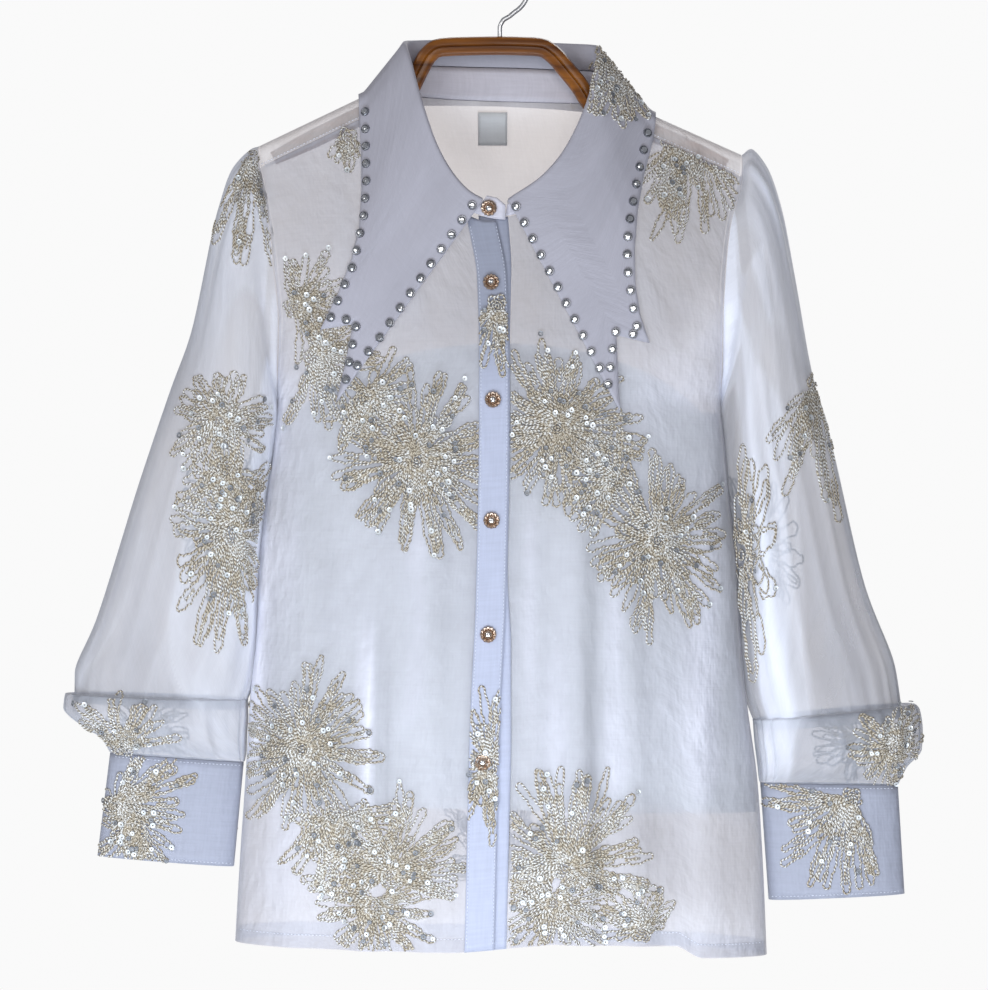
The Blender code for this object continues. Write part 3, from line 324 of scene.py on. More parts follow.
def denser(line, steps):
    """A line with this many steps from each of its points to the next. It keeps its corners."""
    return on_line(np.linspace(0, len(line) - 1, (len(line) - 1) * steps + 1), np.arange(len(line)), line)

def resample(points, count):
    """Points at equal spacing along a line of points, its ends included."""
    length = lengths_of(points)
    return on_line(np.linspace(0, length[-1], count), length, points)

def unit(vectors):
    return vectors / np.linalg.norm(vectors, axis=-1, keepdims=True)

def column(rows, names, name):
    return [row[names.index(name)] for row in rows]

def body_at(height, name):
    """A column of the body's sections at this height."""
    return smooth(column(BODY_ROWS, BODY_COLUMNS, "height"), column(BODY_ROWS, BODY_COLUMNS, name), height)

def body_span(height):
    """Middle of the body between its side edges at this height, and half its width there."""
    left, right = body_at(height, "left"), body_at(height, "right")
    return (left + right) / 2, (right - left) / 2

def shoulder_top(x):
    return np.interp(x, SHOULDER_X, SHOULDER_Z)

def shoulder_axis(x):
    """Height of the middle of the rounding over the shoulder."""
    return shoulder_top(x) - SHOULDER_RADIUS

def row_of(x, y, z):
    return list(np.stack([x, y, z], axis=1))

def armhole_depth(height):
    """Half the armhole's opening from front to back at this height, and 0 under it."""
    top = (SHOULDER_Z[0] + SHOULDER_Z[-1]) / 2 - SHOULDER_RADIUS
    middle = (top + UNDERARM) / 2
    upper = np.clip((height - middle) / (top - middle), 0, 1)
    lower = np.clip((middle - height) / (middle - UNDERARM), 0, 1)
    above = SHOULDER_RADIUS + (ARMHOLE_DEPTH - SHOULDER_RADIUS) * (1 - upper**2) ** ARMHOLE_ROUNDING
    below = ARMHOLE_DEPTH * (1 - lower**2) ** ARMHOLE_ROUNDING
    return np.where(height > middle, above, below)

def folds_at(x, z, rows):
    """How far the hanging folds push the cloth out."""
    total = 0.0
    for top_x, hem_x, top, depth, width in rows:
        down = np.clip((top - z) / (top - BODY_HEM), 0, 1)
        place = top_x + (hem_x - top_x) * down
        ramp = np.clip((top - z) / FOLD_RAMP, 0, 1)
        ramp = ramp * ramp * (3 - 2 * ramp)
        total = total + depth * ramp * np.exp(-(((x - place) / width) ** 2))
    return total

def body_depth(x, z, half, folds):
    """Distance of the body's outer face from its middle plane."""
    middle, reach = body_span(z)
    across = np.clip(np.abs(x - middle) / reach, 0, 1)
    bulge = (1 - across**BODY_FULLNESS) ** (1 / BODY_FULLNESS)
    edge = armhole_depth(z)
    deep = edge + (body_at(z, half) - edge) * bulge + folds_at(x, z, folds) * (1 - across**4)
    below = np.clip((shoulder_axis(x) - z) / SHOULDER_DROP, 0, 1)
    rounded = 1 - (1 - below) ** SHOULDER_ROUNDING
    return SHOULDER_RADIUS + (deep - SHOULDER_RADIUS) * rounded

def front_y(x, z):
    return -body_depth(x, z, "front", FRONT_FOLDS) - SIDE_SEAM

def back_y(x, z):
    return body_depth(x, z, "back", BACK_FOLDS) + SIDE_SEAM

def band_middle(z):
    return smooth(BAND_Z, BAND_X, z)

def under_band_edge(z):
    return band_middle(z) + BAND_HALF + smooth(UNDER_Z, UNDER_SHOWS, z)


print("body is", round(float(2 * body_span(-400)[1])), "mm wide at the chest")

# %% [markdown]
# ## From a table of points to cloth
#
# A cloth panel is a grid: rows run across it and columns run down it. Each grid point
# also gets a UV place measured in metres along the cloth. The weave reads that map, so
# its threads follow the panel round a fold and keep their size on every piece.

# %% A panel from a grid of points
SHIRT = bpy.data.collections.new("flared_sleeve_shirt_looks")
bpy.context.scene.collection.children.link(SHIRT)


def add_object(name, data, collection=SHIRT):
    piece = bpy.data.objects.new(name, data)
    collection.objects.link(piece)
    return piece


def turns_round(count):
    """Equal angles all the way round."""
    return np.linspace(0, 2 * math.pi, count, endpoint=False)


def cloth_lengths(grid, axis):
    """Distance along the cloth from the first row or column, in millimetres."""
    steps = np.linalg.norm(np.diff(grid, axis=axis), axis=2)
    lengths = np.cumsum(np.nan_to_num(steps), axis=axis)
    return np.concatenate([np.zeros_like(np.take(lengths, [0], axis=axis)), lengths], axis=axis)


def panel(name, grid, material, around=False, flip=False, wall=0.0, dense=None):
    """A piece of cloth through the grid's points. wall gives it two faces that far apart.

    dense says how closely the cloth is gathered at each point, from 0 to about 1. The finish makes the cloth
    more opaque there and whitens its colour as painted light; values below 0 only darken the colour, as painted
    shade.
    """
    grid = np.array([[(np.nan,) * 3 if p is None else tuple(p) for p in row] for row in grid], float)
    if around:
        grid = np.concatenate([grid, grid[:, :1]], axis=1)
    rows, columns = grid.shape[:2]
    across, down = cloth_lengths(grid, 1), cloth_lengths(grid, 0)
    number = np.arange(rows * columns).reshape(rows, columns)
    if around:
        number[:, -1] = number[:, 0]
    there = ~np.isnan(grid[:, :, 0])
    shape = bmesh.new()
    points, fullness = {}, []
    for i in range(rows):
        for j in range(columns - 1 if around else columns):
            if there[i, j]:
                points[number[i, j]] = shape.verts.new(grid[i, j] * MM)
                fullness.append(0.0 if dense is None else float(dense[i][j]))
    layer = shape.loops.layers.uv.new("UVMap")
    for i in range(rows - 1):
        for j in range(columns - 1):
            corners = [(i, j), (i, j + 1), (i + 1, j + 1), (i + 1, j)]
            if not all(there[c] for c in corners):
                continue
            face = shape.faces.new([points[number[c]] for c in (corners[::-1] if flip else corners)])
            face.smooth = True
            for loop, corner in zip(face.loops, corners[::-1] if flip else corners):
                loop[layer].uv = (across[corner] * MM, down[corner] * MM)
    mesh = bpy.data.meshes.new(name)
    shape.to_mesh(mesh)
    shape.free()
    mesh.attributes.new("dense", "FLOAT", "POINT").data.foreach_set("value", fullness)
    piece = add_object(name, mesh)
    mesh.materials.append(material)
    if wall:
        solid = piece.modifiers.new("Wall", "SOLIDIFY")
        solid.thickness = wall * MM
        solid.offset = -1
        solid.use_quality_normals = True
        plain_mesh(piece)
    return piece


def plain_mesh(piece):
    """Turns what the modifiers made into the piece's own mesh, and removes them."""
    graph = bpy.context.evaluated_depsgraph_get()
    made = bpy.data.meshes.new_from_object(
        piece.evaluated_get(graph), preserve_all_data_layers=True, depsgraph=graph)
    made.name = piece.name
    piece.modifiers.clear()
    piece.data = made


def triangles(piece):
    return sum(len(face.vertices) - 2 for face in piece.data.polygons)


def finish_piece(piece, slot, *nodes):
    """The piece rides with the shirt and stands for these nodes. slot is not used."""
    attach(piece, "root")
    if nodes:
        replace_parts(piece, *nodes)
    return piece


# %% [markdown]
# ## Shader groups that several finishes share
#
# A node group is a small shader recipe with named sockets. The weave is one: slubs are
# the thicker stretches of thread that show as streaks in organza, and the crinkle is the
# soft creasing of a crisp cloth. Each cloth places the same group with its own values.

# %% Node helpers
def wire(tree, node, inputs):
    """Gives each named input of the node its value, or links the given socket to it."""
    for name, value in inputs.items():
        if isinstance(value, bpy.types.NodeSocket):
            tree.links.new(value, node.inputs[name])
        else:
            node.inputs[name].default_value = value


def add_node(tree, kind, inputs=None, **settings):
    """A node with these settings and inputs, placed to the right of those before it."""
    node = tree.nodes.new(kind)
    node.location = (200 * len(tree.nodes), 0)
    for name, value in settings.items():
        setattr(node, name, value)
    wire(tree, node, inputs or {})
    return node


def new_tree(name, kind, inputs, outputs):
    """A node tree with named sockets: (name, socket type, start value)."""
    tree = bpy.data.node_groups.new(name, kind)
    for socket_name, socket_type, value in inputs:
        socket = tree.interface.new_socket(socket_name, in_out="INPUT", socket_type=socket_type)
        if value is not None:
            socket.default_value = value
    for socket_name, socket_type in outputs:
        tree.interface.new_socket(socket_name, in_out="OUTPUT", socket_type=socket_type)
    return tree, add_node(tree, "NodeGroupInput").outputs, add_node(tree, "NodeGroupOutput")


def maths(tree, operation, *values):
    return add_node(tree, "ShaderNodeMath", dict(enumerate(values)), operation=operation).outputs[0]


def noise(tree, vector, scale, detail, distortion=0.0, **settings):
    inputs = {"Vector": vector, "Scale": scale, "Detail": detail, "Distortion": distortion}
    return add_node(tree, "ShaderNodeTexNoise", inputs, **settings).outputs["Fac"]


def scaled(tree, vector, scale, location=(0, 0, 0)):
    return add_node(tree, "ShaderNodeMapping", {
        "Vector": vector, "Scale": scale, "Location": location}).outputs["Vector"]


def relief(tree, strength, distance, height):
    return add_node(tree, "ShaderNodeBump", {
        "Strength": strength, "Distance": distance, "Height": height}).outputs["Normal"]


def blend(tree, factor, first, second, **settings):
    """A mix of two colours, each given as a colour or as a socket."""
    first, second = (c if isinstance(c, bpy.types.NodeSocket) else (*c, 1) for c in (first, second))
    return add_node(tree, "ShaderNodeMix", {"Factor": factor, "A": first, "B": second},
                    data_type="RGBA", **settings).outputs["Result"]


# %% The weave, as a group
FLOAT = "NodeSocketFloat"


def build_weave_group():
    tree, given, result = new_tree(
        "cloth_weave", "ShaderNodeTree", (("Slub", FLOAT, 0.1), ("Crinkle", FLOAT, 1.0), ("Cloud", FLOAT, 0.1)),
        (("Shade", FLOAT), ("Cover", FLOAT), ("Height", FLOAT)))
    place = add_node(tree, "ShaderNodeUVMap", uv_map="UVMap").outputs["UV"]

    def streaks(scale, seed, detail):
        return noise(tree, scaled(tree, place, scale, (seed, seed * 2, 0)), 1.0, detail, noise_dimensions="2D")

    across, down = streaks((34, 560, 1), 3.1, 1.0), streaks((560, 34, 1), 7.7, 1.0)
    clouds, creases = streaks((19, 12, 1), 1.3, 3.0), streaks((105, 62, 1), 5.9, 2.0)
    slub = maths(tree, "SUBTRACT", maths(tree, "ADD", across, down), 1.0)
    streaky = maths(tree, "MULTIPLY", slub, given["Slub"])
    mist = maths(tree, "MULTIPLY_ADD", maths(tree, "SUBTRACT", clouds, 0.5), given["Cloud"], 1.0)
    soft = maths(tree, "MULTIPLY", maths(tree, "MULTIPLY_ADD", clouds, 3.0, creases), given["Crinkle"])
    wire(tree, result, {
        "Shade": maths(tree, "MULTIPLY_ADD", streaky, 2.0, mist),
        "Cover": maths(tree, "MULTIPLY_ADD", slub, 0.1, maths(tree, "MULTIPLY_ADD", clouds, 1.4, -0.7)),
        "Height": maths(tree, "MULTIPLY_ADD", slub, 0.12, soft)})
    return tree


WEAVE = build_weave_group()


# %% [markdown]
# ## The cloths
#
# Organza lets about half the light through, so its Alpha stays low and the layers behind
# it add up: one layer looks grey, and a fold or a lined place looks white. Where the cloth is
# marked dense, its colour is also whitened as painted light, and where dense is below 0 it is
# darkened as painted shade. The doubled cotton of collar, bands and cuffs is solid. All of
# them are slightly blue in daylight.

# %% Cloth finishes
CRINKLE_HEIGHT = 0.0012  # metres
# The colour is scaled by 1 + this times dense: whitened as painted light where dense is above 0, darkened as
# painted shade where it is below 0.
PAINTED_LIGHT_WHERE_DENSE = 0.5
FULLER_WHERE_DENSE = 0.5
FULLER_EDGE_ON = 0.5


def new_material(name):
    material = bpy.data.materials.new(name)
    material.use_nodes = True
    return material, material.node_tree, material.node_tree.nodes["Principled BSDF"]


def cloth(name, colour, alpha=1.0, slub=0.05, crinkle=1.0, roughness=0.65, bump=0.35, cloud=0.1,
          variation=0.25):
    """A woven finish. Below an alpha of 1 it is sheer, less so where it is dense or seen edge on."""
    material, tree, shader = new_material(name)
    weave = add_node(tree, "ShaderNodeGroup", {"Slub": slub, "Crinkle": crinkle, "Cloud": cloud},
                     node_tree=WEAVE).outputs
    dense = add_node(tree, "ShaderNodeAttribute", attribute_name="dense").outputs["Fac"]
    # Painted light and shade: dense scales the colour up above 0 and down below 0.
    whiter = maths(tree, "MULTIPLY_ADD", dense, PAINTED_LIGHT_WHERE_DENSE, 1.0)
    shade = maths(tree, "MULTIPLY", weave["Shade"], whiter)
    wire(tree, shader, {
        "Base Color": blend(tree, 1.0, colour, shade, blend_type="MULTIPLY"),
        "Normal": relief(tree, bump, CRINKLE_HEIGHT, weave["Height"]),
        "Roughness": roughness, "Sheen Weight": 0.25, "Sheen Roughness": 0.4})
    if alpha < 1:
        facing = add_node(tree, "ShaderNodeLayerWeight", {"Blend": 0.5}).outputs["Facing"]
        thin = maths(tree, "MULTIPLY_ADD", weave["Cover"], variation, alpha)
        full = maths(tree, "MULTIPLY_ADD", maths(tree, "MAXIMUM", dense, 0.0), FULLER_WHERE_DENSE, thin)
        edge_on = maths(tree, "MULTIPLY", facing, facing)
        cover = maths(tree, "MULTIPLY_ADD", edge_on, FULLER_EDGE_ON, full)
        wire(tree, shader, {"Alpha": maths(tree, "MINIMUM", cover, 1.0)})
    return material


ORGANZA = cloth("sheer_organza", (0.60, 0.60, 0.665), alpha=0.56, slub=0.015, crinkle=1.6, bump=0.9,
                cloud=0.24, variation=0.2)
BACK_ORGANZA = cloth("sheer_back_organza", (0.88, 0.84, 0.84), alpha=0.50, slub=0.015, crinkle=1.5, bump=0.8)
SLEEVE_ORGANZA = cloth("sheer_sleeve_organza", (0.62, 0.635, 0.70), alpha=0.48, slub=0.01, crinkle=0.8,
                       bump=0.5, cloud=0.2, variation=0.22)
VOILE = cloth("lining_voile", (0.97, 0.99, 1.0), alpha=0.88, slub=0.015, crinkle=1.0, bump=0.5)
BAND = cloth("band_cotton", (0.485, 0.515, 0.645), slub=0.06, crinkle=0.5, cloud=0.04)
# Collar and stand are one white cotton. The collar's colour is darkened as painted shade, and the stand's is
# lightened as painted light where it lies in shadow inside the neck.
COLLAR_IN_PAINTED_SHADE = cloth("collar_cotton", (0.445, 0.435, 0.495), slub=0.03, crinkle=0.6, bump=0.5, cloud=0.2)
STAND_IN_PAINTED_LIGHT = cloth("stand_cotton", (0.64, 0.62, 0.69), slub=0.05, crinkle=0.9, bump=0.55)
CUFF = cloth("cuff_cotton", (0.375, 0.39, 0.47), slub=0.06, crinkle=1.2, bump=0.6)
SATIN = cloth("label_satin", (0.62, 0.63, 0.64), slub=0.02, crinkle=0.2, roughness=0.35)
CLOTHS = (ORGANZA, BACK_ORGANZA, SLEEVE_ORGANZA, VOILE, BAND, COLLAR_IN_PAINTED_SHADE, STAND_IN_PAINTED_LIGHT, CUFF, SATIN)
print("cloths:", [material.name for material in CLOTHS])


# %% [markdown]
# ## Metal, stone, thread and wood
#
# The cord of the embroidery is a twisted one, which looks like a row of small beads. Its
# stripes read `along`, a distance that the cord carries from its start. Gold and silver
# share one group that scatters the roughness as handling does.

# %% Metal wear, as a group
def build_wear_group():
    tree, given, result = new_tree(
        "metal_wear", "ShaderNodeTree", (("Base", FLOAT, 0.2), ("Spread", FLOAT, 0.2), ("Grain", FLOAT, 900.0)),
        (("Roughness", FLOAT), ("Mask", FLOAT)))
    mask = noise(tree, add_node(tree, "ShaderNodeTexCoord").outputs["Object"], given["Grain"], 4.0)
    spread = maths(tree, "MULTIPLY", mask, given["Spread"])
    wire(tree, result, {"Roughness": maths(tree, "ADD", spread, given["Base"]), "Mask": mask})
    return tree


WEAR = build_wear_group()


def metal(name, dark, bright, roughness, spread=0.2, grain=900.0, metallic=1.0):
    material, tree, shader = new_material(name)
    wear = add_node(tree, "ShaderNodeGroup", {"Base": roughness, "Spread": spread, "Grain": grain},
                    node_tree=WEAR).outputs
    wire(tree, shader, {
        "Base Color": blend(tree, wear["Mask"], dark, bright),
        "Roughness": wear["Roughness"], "Metallic": metallic})
    return material


GOLD = metal("button_gold", (0.27, 0.165, 0.11), (0.66, 0.52, 0.41), 0.22)
SILVER = metal("stud_silver", (0.16, 0.165, 0.19), (0.42, 0.43, 0.46), 0.22)
STONE = metal("cut_stone", (0.42, 0.43, 0.46), (1.0, 1.0, 1.0), 0.06, spread=0.08)
STEEL = metal("hook_steel", (0.52, 0.52, 0.53), (0.76, 0.76, 0.77), 0.2, grain=300.0)
SEQUIN = metal("sequin_foil", (0.55, 0.60, 0.62), (1.0, 1.0, 1.0), 0.25, 0.3, 240.0, metallic=0.65)
# The same silver foil, darkened as painted dark reflection.
SEQUIN_FOIL_PAINTED_DARK = metal("smoky_sequin_foil", (0.10, 0.10, 0.11), (0.42, 0.44, 0.47), 0.3, 0.3, 240.0, metallic=0.6)


# %% Twisted cord, sewing thread and wood
def twisted_cord(name, shadow, light, pale, period):
    """A cord whose strands show as slanted beads, paler in some places than others."""
    material, tree, shader = new_material(name)
    along, around = (add_node(tree, "ShaderNodeAttribute", attribute_name=word).outputs["Fac"]
                     for word in ("along", "around"))
    turn = maths(tree, "MULTIPLY_ADD", along, math.tau / period, maths(tree, "MULTIPLY", around, math.tau))
    bead = maths(tree, "MULTIPLY_ADD", maths(tree, "SINE", turn), 0.5, 0.5)
    place = add_node(tree, "ShaderNodeTexCoord").outputs["Object"]
    broad, fine = noise(tree, place, 34.0, 2.0), noise(tree, place, 330.0, 0.0)
    patch = maths(tree, "MULTIPLY", maths(tree, "SUBTRACT", broad, 0.5), 3.0)
    spread = maths(tree, "MULTIPLY_ADD", maths(tree, "SUBTRACT", fine, 0.34), 3.0, patch)
    tone = blend(tree, spread, light, pale, clamp_factor=True)
    wire(tree, shader, {
        "Base Color": blend(tree, bead, shadow, tone), "Normal": relief(tree, 0.8, 0.0004, bead),
        "Roughness": 0.27, "Sheen Weight": 0.3})
    return material


CORD = twisted_cord("champagne_cord", (0.19, 0.145, 0.09), (0.70, 0.62, 0.49), (1.0, 1.0, 0.98), 0.0029)
THREAD = cloth("sewing_thread", (0.80, 0.83, 0.92), slub=0.0, crinkle=0.0, cloud=0.0)


def varnished_wood(name):
    material, tree, shader = new_material(name)
    place = scaled(tree, add_node(tree, "ShaderNodeTexCoord").outputs["Object"], (9.0, 90.0, 150.0))
    grain = noise(tree, place, 1.0, 4.0, 0.6)
    ramp = add_node(tree, "ShaderNodeValToRGB", {"Fac": grain})
    dark, bright = ramp.color_ramp.elements
    dark.position, dark.color = 0.32, (0.095, 0.026, 0.003, 1)
    bright.position, bright.color = 0.68, (0.33, 0.112, 0.012, 1)
    wire(tree, shader, {
        "Base Color": ramp.outputs["Color"], "Normal": relief(tree, 0.15, 0.0004, grain),
        "Roughness": 0.33, "Specular IOR Level": 0.3, "Coat Weight": 0.1})
    return material


WOOD = varnished_wood("varnished_wood")


# %% [markdown]
# ## Fronts and back
#
# Each front runs from the side seam to the button band. The back comes over the shoulder
# and meets the front nine millimetres down, as the forward seam of this shirt does.

# %% Edges of the panels
def front_top(x):
    """Top edge of a front: the neck seam, then the shoulder seam."""
    seam = shoulder_axis(x) - SHOULDER_SEAM
    return np.where(np.abs(x) < NECK_SIDE, smooth(NECK_FRONT_X, NECK_FRONT_Z, x), seam)

def back_top(x):
    """Top edge of the back's own side: the neck seam, then the ridge of the shoulder."""
    ridge = shoulder_axis(x)
    return np.where(np.abs(x) < NECK_SIDE, smooth(NECK_BACK_X, NECK_BACK_Z, x), ridge)

def risen(height):
    """Share of the top edge's shape in the row at this height: 0 up to the underarm, 1 on top."""
    return max(0.0, (height - UNDERARM) / (BODY_HEIGHTS[-1] - UNDERARM)) ** 1.5

def row_z(height, top, hem):
    """Heights of a row's points: the last row follows the top edge, the first rows the hem."""
    low = np.clip(1 - (height - BODY_HEIGHTS[0]) / HEM_REACH, 0, 1)
    return height + (top - BODY_HEIGHTS[-1]) * risen(height) + (hem - BODY_HEIGHTS[0]) * low

def panel_grid(across, top_edge, hem_edge, surface):
    """Points of a body panel. across(height) gives each column's share of the half width."""
    tip, tip_reach = body_span(BODY_HEIGHTS[-1])
    x_top = tip + tip_reach * across(BODY_HEIGHTS[-1])
    grid = []
    for height in BODY_HEIGHTS:
        middle, reach = body_span(height)
        x = middle + reach * across(height)
        z = row_z(height, top_edge(x_top), hem_edge(x))
        grid.append(row_of(x, surface(x, z), z))
    return grid

def neck_share():
    return NECK_SIDE / body_span(BODY_HEIGHTS[-1])[1]

def side_shares(count):
    """Columns from the side of the neck to the armhole, closer together at the edge."""
    start = math.asin(neck_share())
    return np.sin(np.linspace(start, math.pi / 2, count + 1))

def share_of(x, height):
    middle, reach = body_span(height)
    return (x - middle) / reach

def front_hem(x):
    return np.interp(x, HEM_X, HEM_Z)

def back_hem(x):
    return np.interp(x, BACK_HEM_X, BACK_HEM_Z)

def centre_height(height):
    """Height at the middle of the front of the row that leaves the side seam at this height."""
    return height + (min(NECK_FRONT_Z) - BODY_HEIGHTS[-1]) * risen(height)

def front_grid(side):
    """The right front for side -1, which ends under the top band, and the left front for 1."""
    def right_front(height):
        edge = share_of(band_middle(centre_height(height)) - BAND_HALF + BAND_LAP, height)
        inner = np.linspace(-neck_share(), edge, FRONT_COLUMNS + 1)
        return np.concatenate([-side_shares(SIDE_COLUMNS)[::-1], inner[1:]])

    def left_front(height):
        edge = share_of(under_band_edge(centre_height(height)) + SEAM_GAP, height)
        inner = np.linspace(edge, neck_share(), FRONT_COLUMNS + 1)
        return np.concatenate([inner[:-1], side_shares(SIDE_COLUMNS)])

    return panel_grid(right_front if side < 0 else left_front, front_top, front_hem, front_y)

def back_grid():
    """The back goes up behind, over the shoulders and a little way down in front."""
    side = side_shares(SIDE_COLUMNS)
    middle = np.linspace(-neck_share(), neck_share(), 2 * FRONT_COLUMNS + 1)
    shares = np.concatenate([-side[::-1], middle[1:-1], side])
    grid = panel_grid(lambda height: shares, back_top, back_hem, back_y)
    ridge = grid[-1]
    wrap = [(math.pi * step / WRAP_STEPS, 0.0) for step in range(1, WRAP_STEPS + 1)]
    wrap += [(math.pi, (SHOULDER_SEAM - SEAM_GAP) / 2), (math.pi, SHOULDER_SEAM - SEAM_GAP)]
    for turn, down in wrap:
        row = []
        for place in ridge:
            x = place[0]
            if abs(x) < NECK_SIDE - 1:
                row.append(None)
                continue
            level = shoulder_axis(x)
            if down:
                row.append((x, float(front_y(x, level - down)), level - down))
            else:
                radius = SHOULDER_RADIUS + SIDE_SEAM
                row.append((x, radius * math.cos(turn), level + SHOULDER_RADIUS * math.sin(turn)))
        grid.append(row)
    return grid


# %% Painted light and shade on the fronts, with denser cloth in their folds
# Each row: middle x and z, half width and half height, and a weight. Above 0 the cloth is
# more opaque there and its colour is whitened as painted light; below 0 its colour is only
# darkened, as painted shade, as on the chest and the shoulders. Pairs of narrow rows paint
# the lit and the shaded side of one fold.
PAINTED_LIGHT_SHADE_AND_COVER = (
    (-30, -235, 62, 75, -0.42), (30, -250, 40, 70, -0.3), (135, -232, 58, 62, -0.62),
    (-150, -190, 45, 50, -0.22),
    (118, -665, 52, 44, -0.55), (180, -655, 26, 50, -0.25), (-172, -400, 22, 95, 0.5),
    (-184, -520, 10, 90, 0.6), (-97, -575, 7, 80, 0.42), (-86, -575, 7, 80, -0.34),
    (-60, -470, 12, 110, 0.16), (-42, -440, 10, 120, -0.2), (66, -560, 9, 130, -0.36),
    (84, -560, 11, 130, 0.24), (100, -470, 10, 90, -0.16), (150, -545, 16, 130, 0.36),
    (172, -480, 9, 120, -0.22), (160, -272, 20, 24, 0.55), (134, -312, 34, 30, 0.3), (40, -600, 10, 90, 0.2),
    (-130, -470, 12, 60, -0.14), (-20, -520, 9, 100, -0.14), (22, -480, 7, 90, 0.2), (-160, -660, 14, 45, 0.12),
)
NARROW_FOLD = 17
NARROW_STRENGTH = 1.6


def painted_light_shade_and_cover(grid):
    """Painted light and shade at each point of a front, and how much more opaque its cloth is there, from the
    rows above.
    """
    points = np.array(grid)
    total = np.zeros(points.shape[:2])
    for x, z, half_x, half_z, weight in PAINTED_LIGHT_SHADE_AND_COVER:
        strength = NARROW_STRENGTH if half_x < NARROW_FOLD else 1.0
        away = -((points[..., 0] - x) / half_x) ** 2 - ((points[..., 2] - z) / half_z) ** 4
        total += strength * weight * np.exp(away)
    return total


# %% Make the three panels
def front_panel(name, side):
    grid = front_grid(side)
    # The fronts' dense values carry their painted light and shade.
    return finish_piece(panel(f"{name}_organza", grid, ORGANZA, dense=painted_light_shade_and_cover(grid)), "organza", name)


front_right, front_left = front_panel("front_right", -1), front_panel("front_left", 1)
back = finish_piece(panel("back_organza", back_grid(), BACK_ORGANZA, flip=True), "organza", "back")
print("panels:", [triangles(piece) for piece in (front_right, front_left, back)], "triangles")

# %% [markdown]
# ## Turned hems and seam allowances
#
# On sheer cloth you see the inside too. The hem is turned up 11 mm, and the shoulder
# seams keep a narrow allowance behind them. Each is a strip of the same organza,
# a hair inside its panel, so it shows as a whiter line just as it does on the real shirt.

# %% Strips behind the panels
HEM_TURN = 11.0
INSIDE = 0.8


def hem_strip(name, start, end, half):
    """The turned-up hem between two places across the body."""
    surface, hem, inward = (front_y, front_hem, 1) if half == "front" else (back_y, back_hem, -1)
    grid = []
    for rise in np.linspace(0.4, HEM_TURN, 4):
        x = np.linspace(start, end, 90)
        z = hem(x) + rise
        grid.append(row_of(x, surface(x, z) + inward * INSIDE, z))
    return finish_piece(panel(name, grid, ORGANZA, flip=half == "back"), "organza")


def shoulder_strip(name, side):
    grid = []
    for down in np.linspace(-2.2, 2.2, 3):
        x = side * np.linspace(NECK_SIDE + 1, 176, 40)
        z = shoulder_axis(x) - SHOULDER_SEAM + down
        grid.append(row_of(x, front_y(x, z) + INSIDE, z))
    return finish_piece(panel(name, grid, ORGANZA), "organza")


hems = [
    hem_strip("hem_front_right", float(body_at(-738, "left")) + 2, -26.0, "front"),
    hem_strip("hem_front_left", 8.6, float(body_at(-742, "right")) - 2, "front"),
    hem_strip("hem_back", float(body_at(-738, "left")) + 2, float(body_at(-745, "right")) - 2, "back"),
]
shoulder_seams = [shoulder_strip("shoulder_seam_right", -1), shoulder_strip("shoulder_seam_left", 1)]
print("strips:", [piece.name for piece in hems + shoulder_seams])

# %% [markdown]
# ## Button bands
#
# The top band is folded cotton, 22 mm wide, and lies on the right front. The under band
# lies in the left front's edge and peeks out beside it near the neck and below the waist.

# %% Bands
# The bands lie in the collar's shadow at their top: where it starts, how far it takes to
# come on, and how dark it is.
SHADE_START = -330
SHADE_RAMP = 60
SHADE_DEPTH = -0.65


def band_grid(left_edge, right_edge, lift, short):
    """A strip of the front's own surface, moved out by lift and ending short of the neck seam."""
    grid = []
    for height in BODY_HEIGHTS:
        middle = centre_height(height)
        x = np.linspace(left_edge(middle), right_edge(middle), BAND_COLUMNS + 1)
        z = row_z(height, smooth(NECK_FRONT_X, NECK_FRONT_Z, x) - short, front_hem(x))
        grid.append(row_of(x, front_y(x, z) - lift, z))
    return grid


def top_left(height):
    return band_middle(height) - BAND_HALF


def top_right(height):
    return band_middle(height) + BAND_HALF


def under_left(height):
    hidden = top_left(height) + BAND_LAP + SEAM_GAP
    return np.maximum(under_band_edge(height) - UNDER_BAND, hidden)


def band(name, node, *edges):
    grid = band_grid(*edges)
    shade = [[SHADE_DEPTH * float(np.clip((place[2] - SHADE_START) / SHADE_RAMP, 0, 1)) for place in row]
             for row in grid]
    return finish_piece(panel(name, grid, BAND, wall=BAND_WALL, dense=shade), "band_cotton", node)


top_band = band("top_button_band", "placket_right", top_left, top_right, TOP_BAND_LIFT, BAND_SHORT)
under_band = band("under_button_band", "placket_left", under_left, under_band_edge, 0.0, 0.0)
print("bands:", triangles(top_band), triangles(under_band), "triangles")

# %% [markdown]
# ## Sleeves
#
# A sleeve is a row of rings. The first ring is the armhole itself. Gathers ride on the
# rings near the head and the cuff, and long folds slide round it from one angle to
# another. Above the cuff the cloth turns back on itself, which makes the soft roll.

# %% Rings of a sleeve
def armhole_loop(side, angles):
    """The panels' own armhole edge at these angles: 0 is its top, 90 the front, 180 the underarm."""
    edge = 0 if side < 0 else -1
    front = [row[edge] for row in front_grid(side) if row[edge][2] > UNDERARM - 1]
    rows = [row[edge] for row in back_grid()]
    back = [place for place in rows[:len(BODY_HEIGHTS)] if place[2] > UNDERARM - 1]
    wrap = rows[len(BODY_HEIGHTS):]
    crest = max(range(WRAP_STEPS), key=lambda step: wrap[step][2])
    line = np.array([*wrap[crest:], *front[::-1], *back, *wrap[:crest + 1]], float)
    top, low = line[0, 2], UNDERARM
    turn = np.arccos(np.clip((line[:, 2] - (top + low) / 2) / ((top - low) / 2), -1, 1))
    first_back = len(wrap) - crest + len(front)
    turn[first_back:] = 2 * math.pi - turn[first_back:]
    return on_line(angles, turn, line)

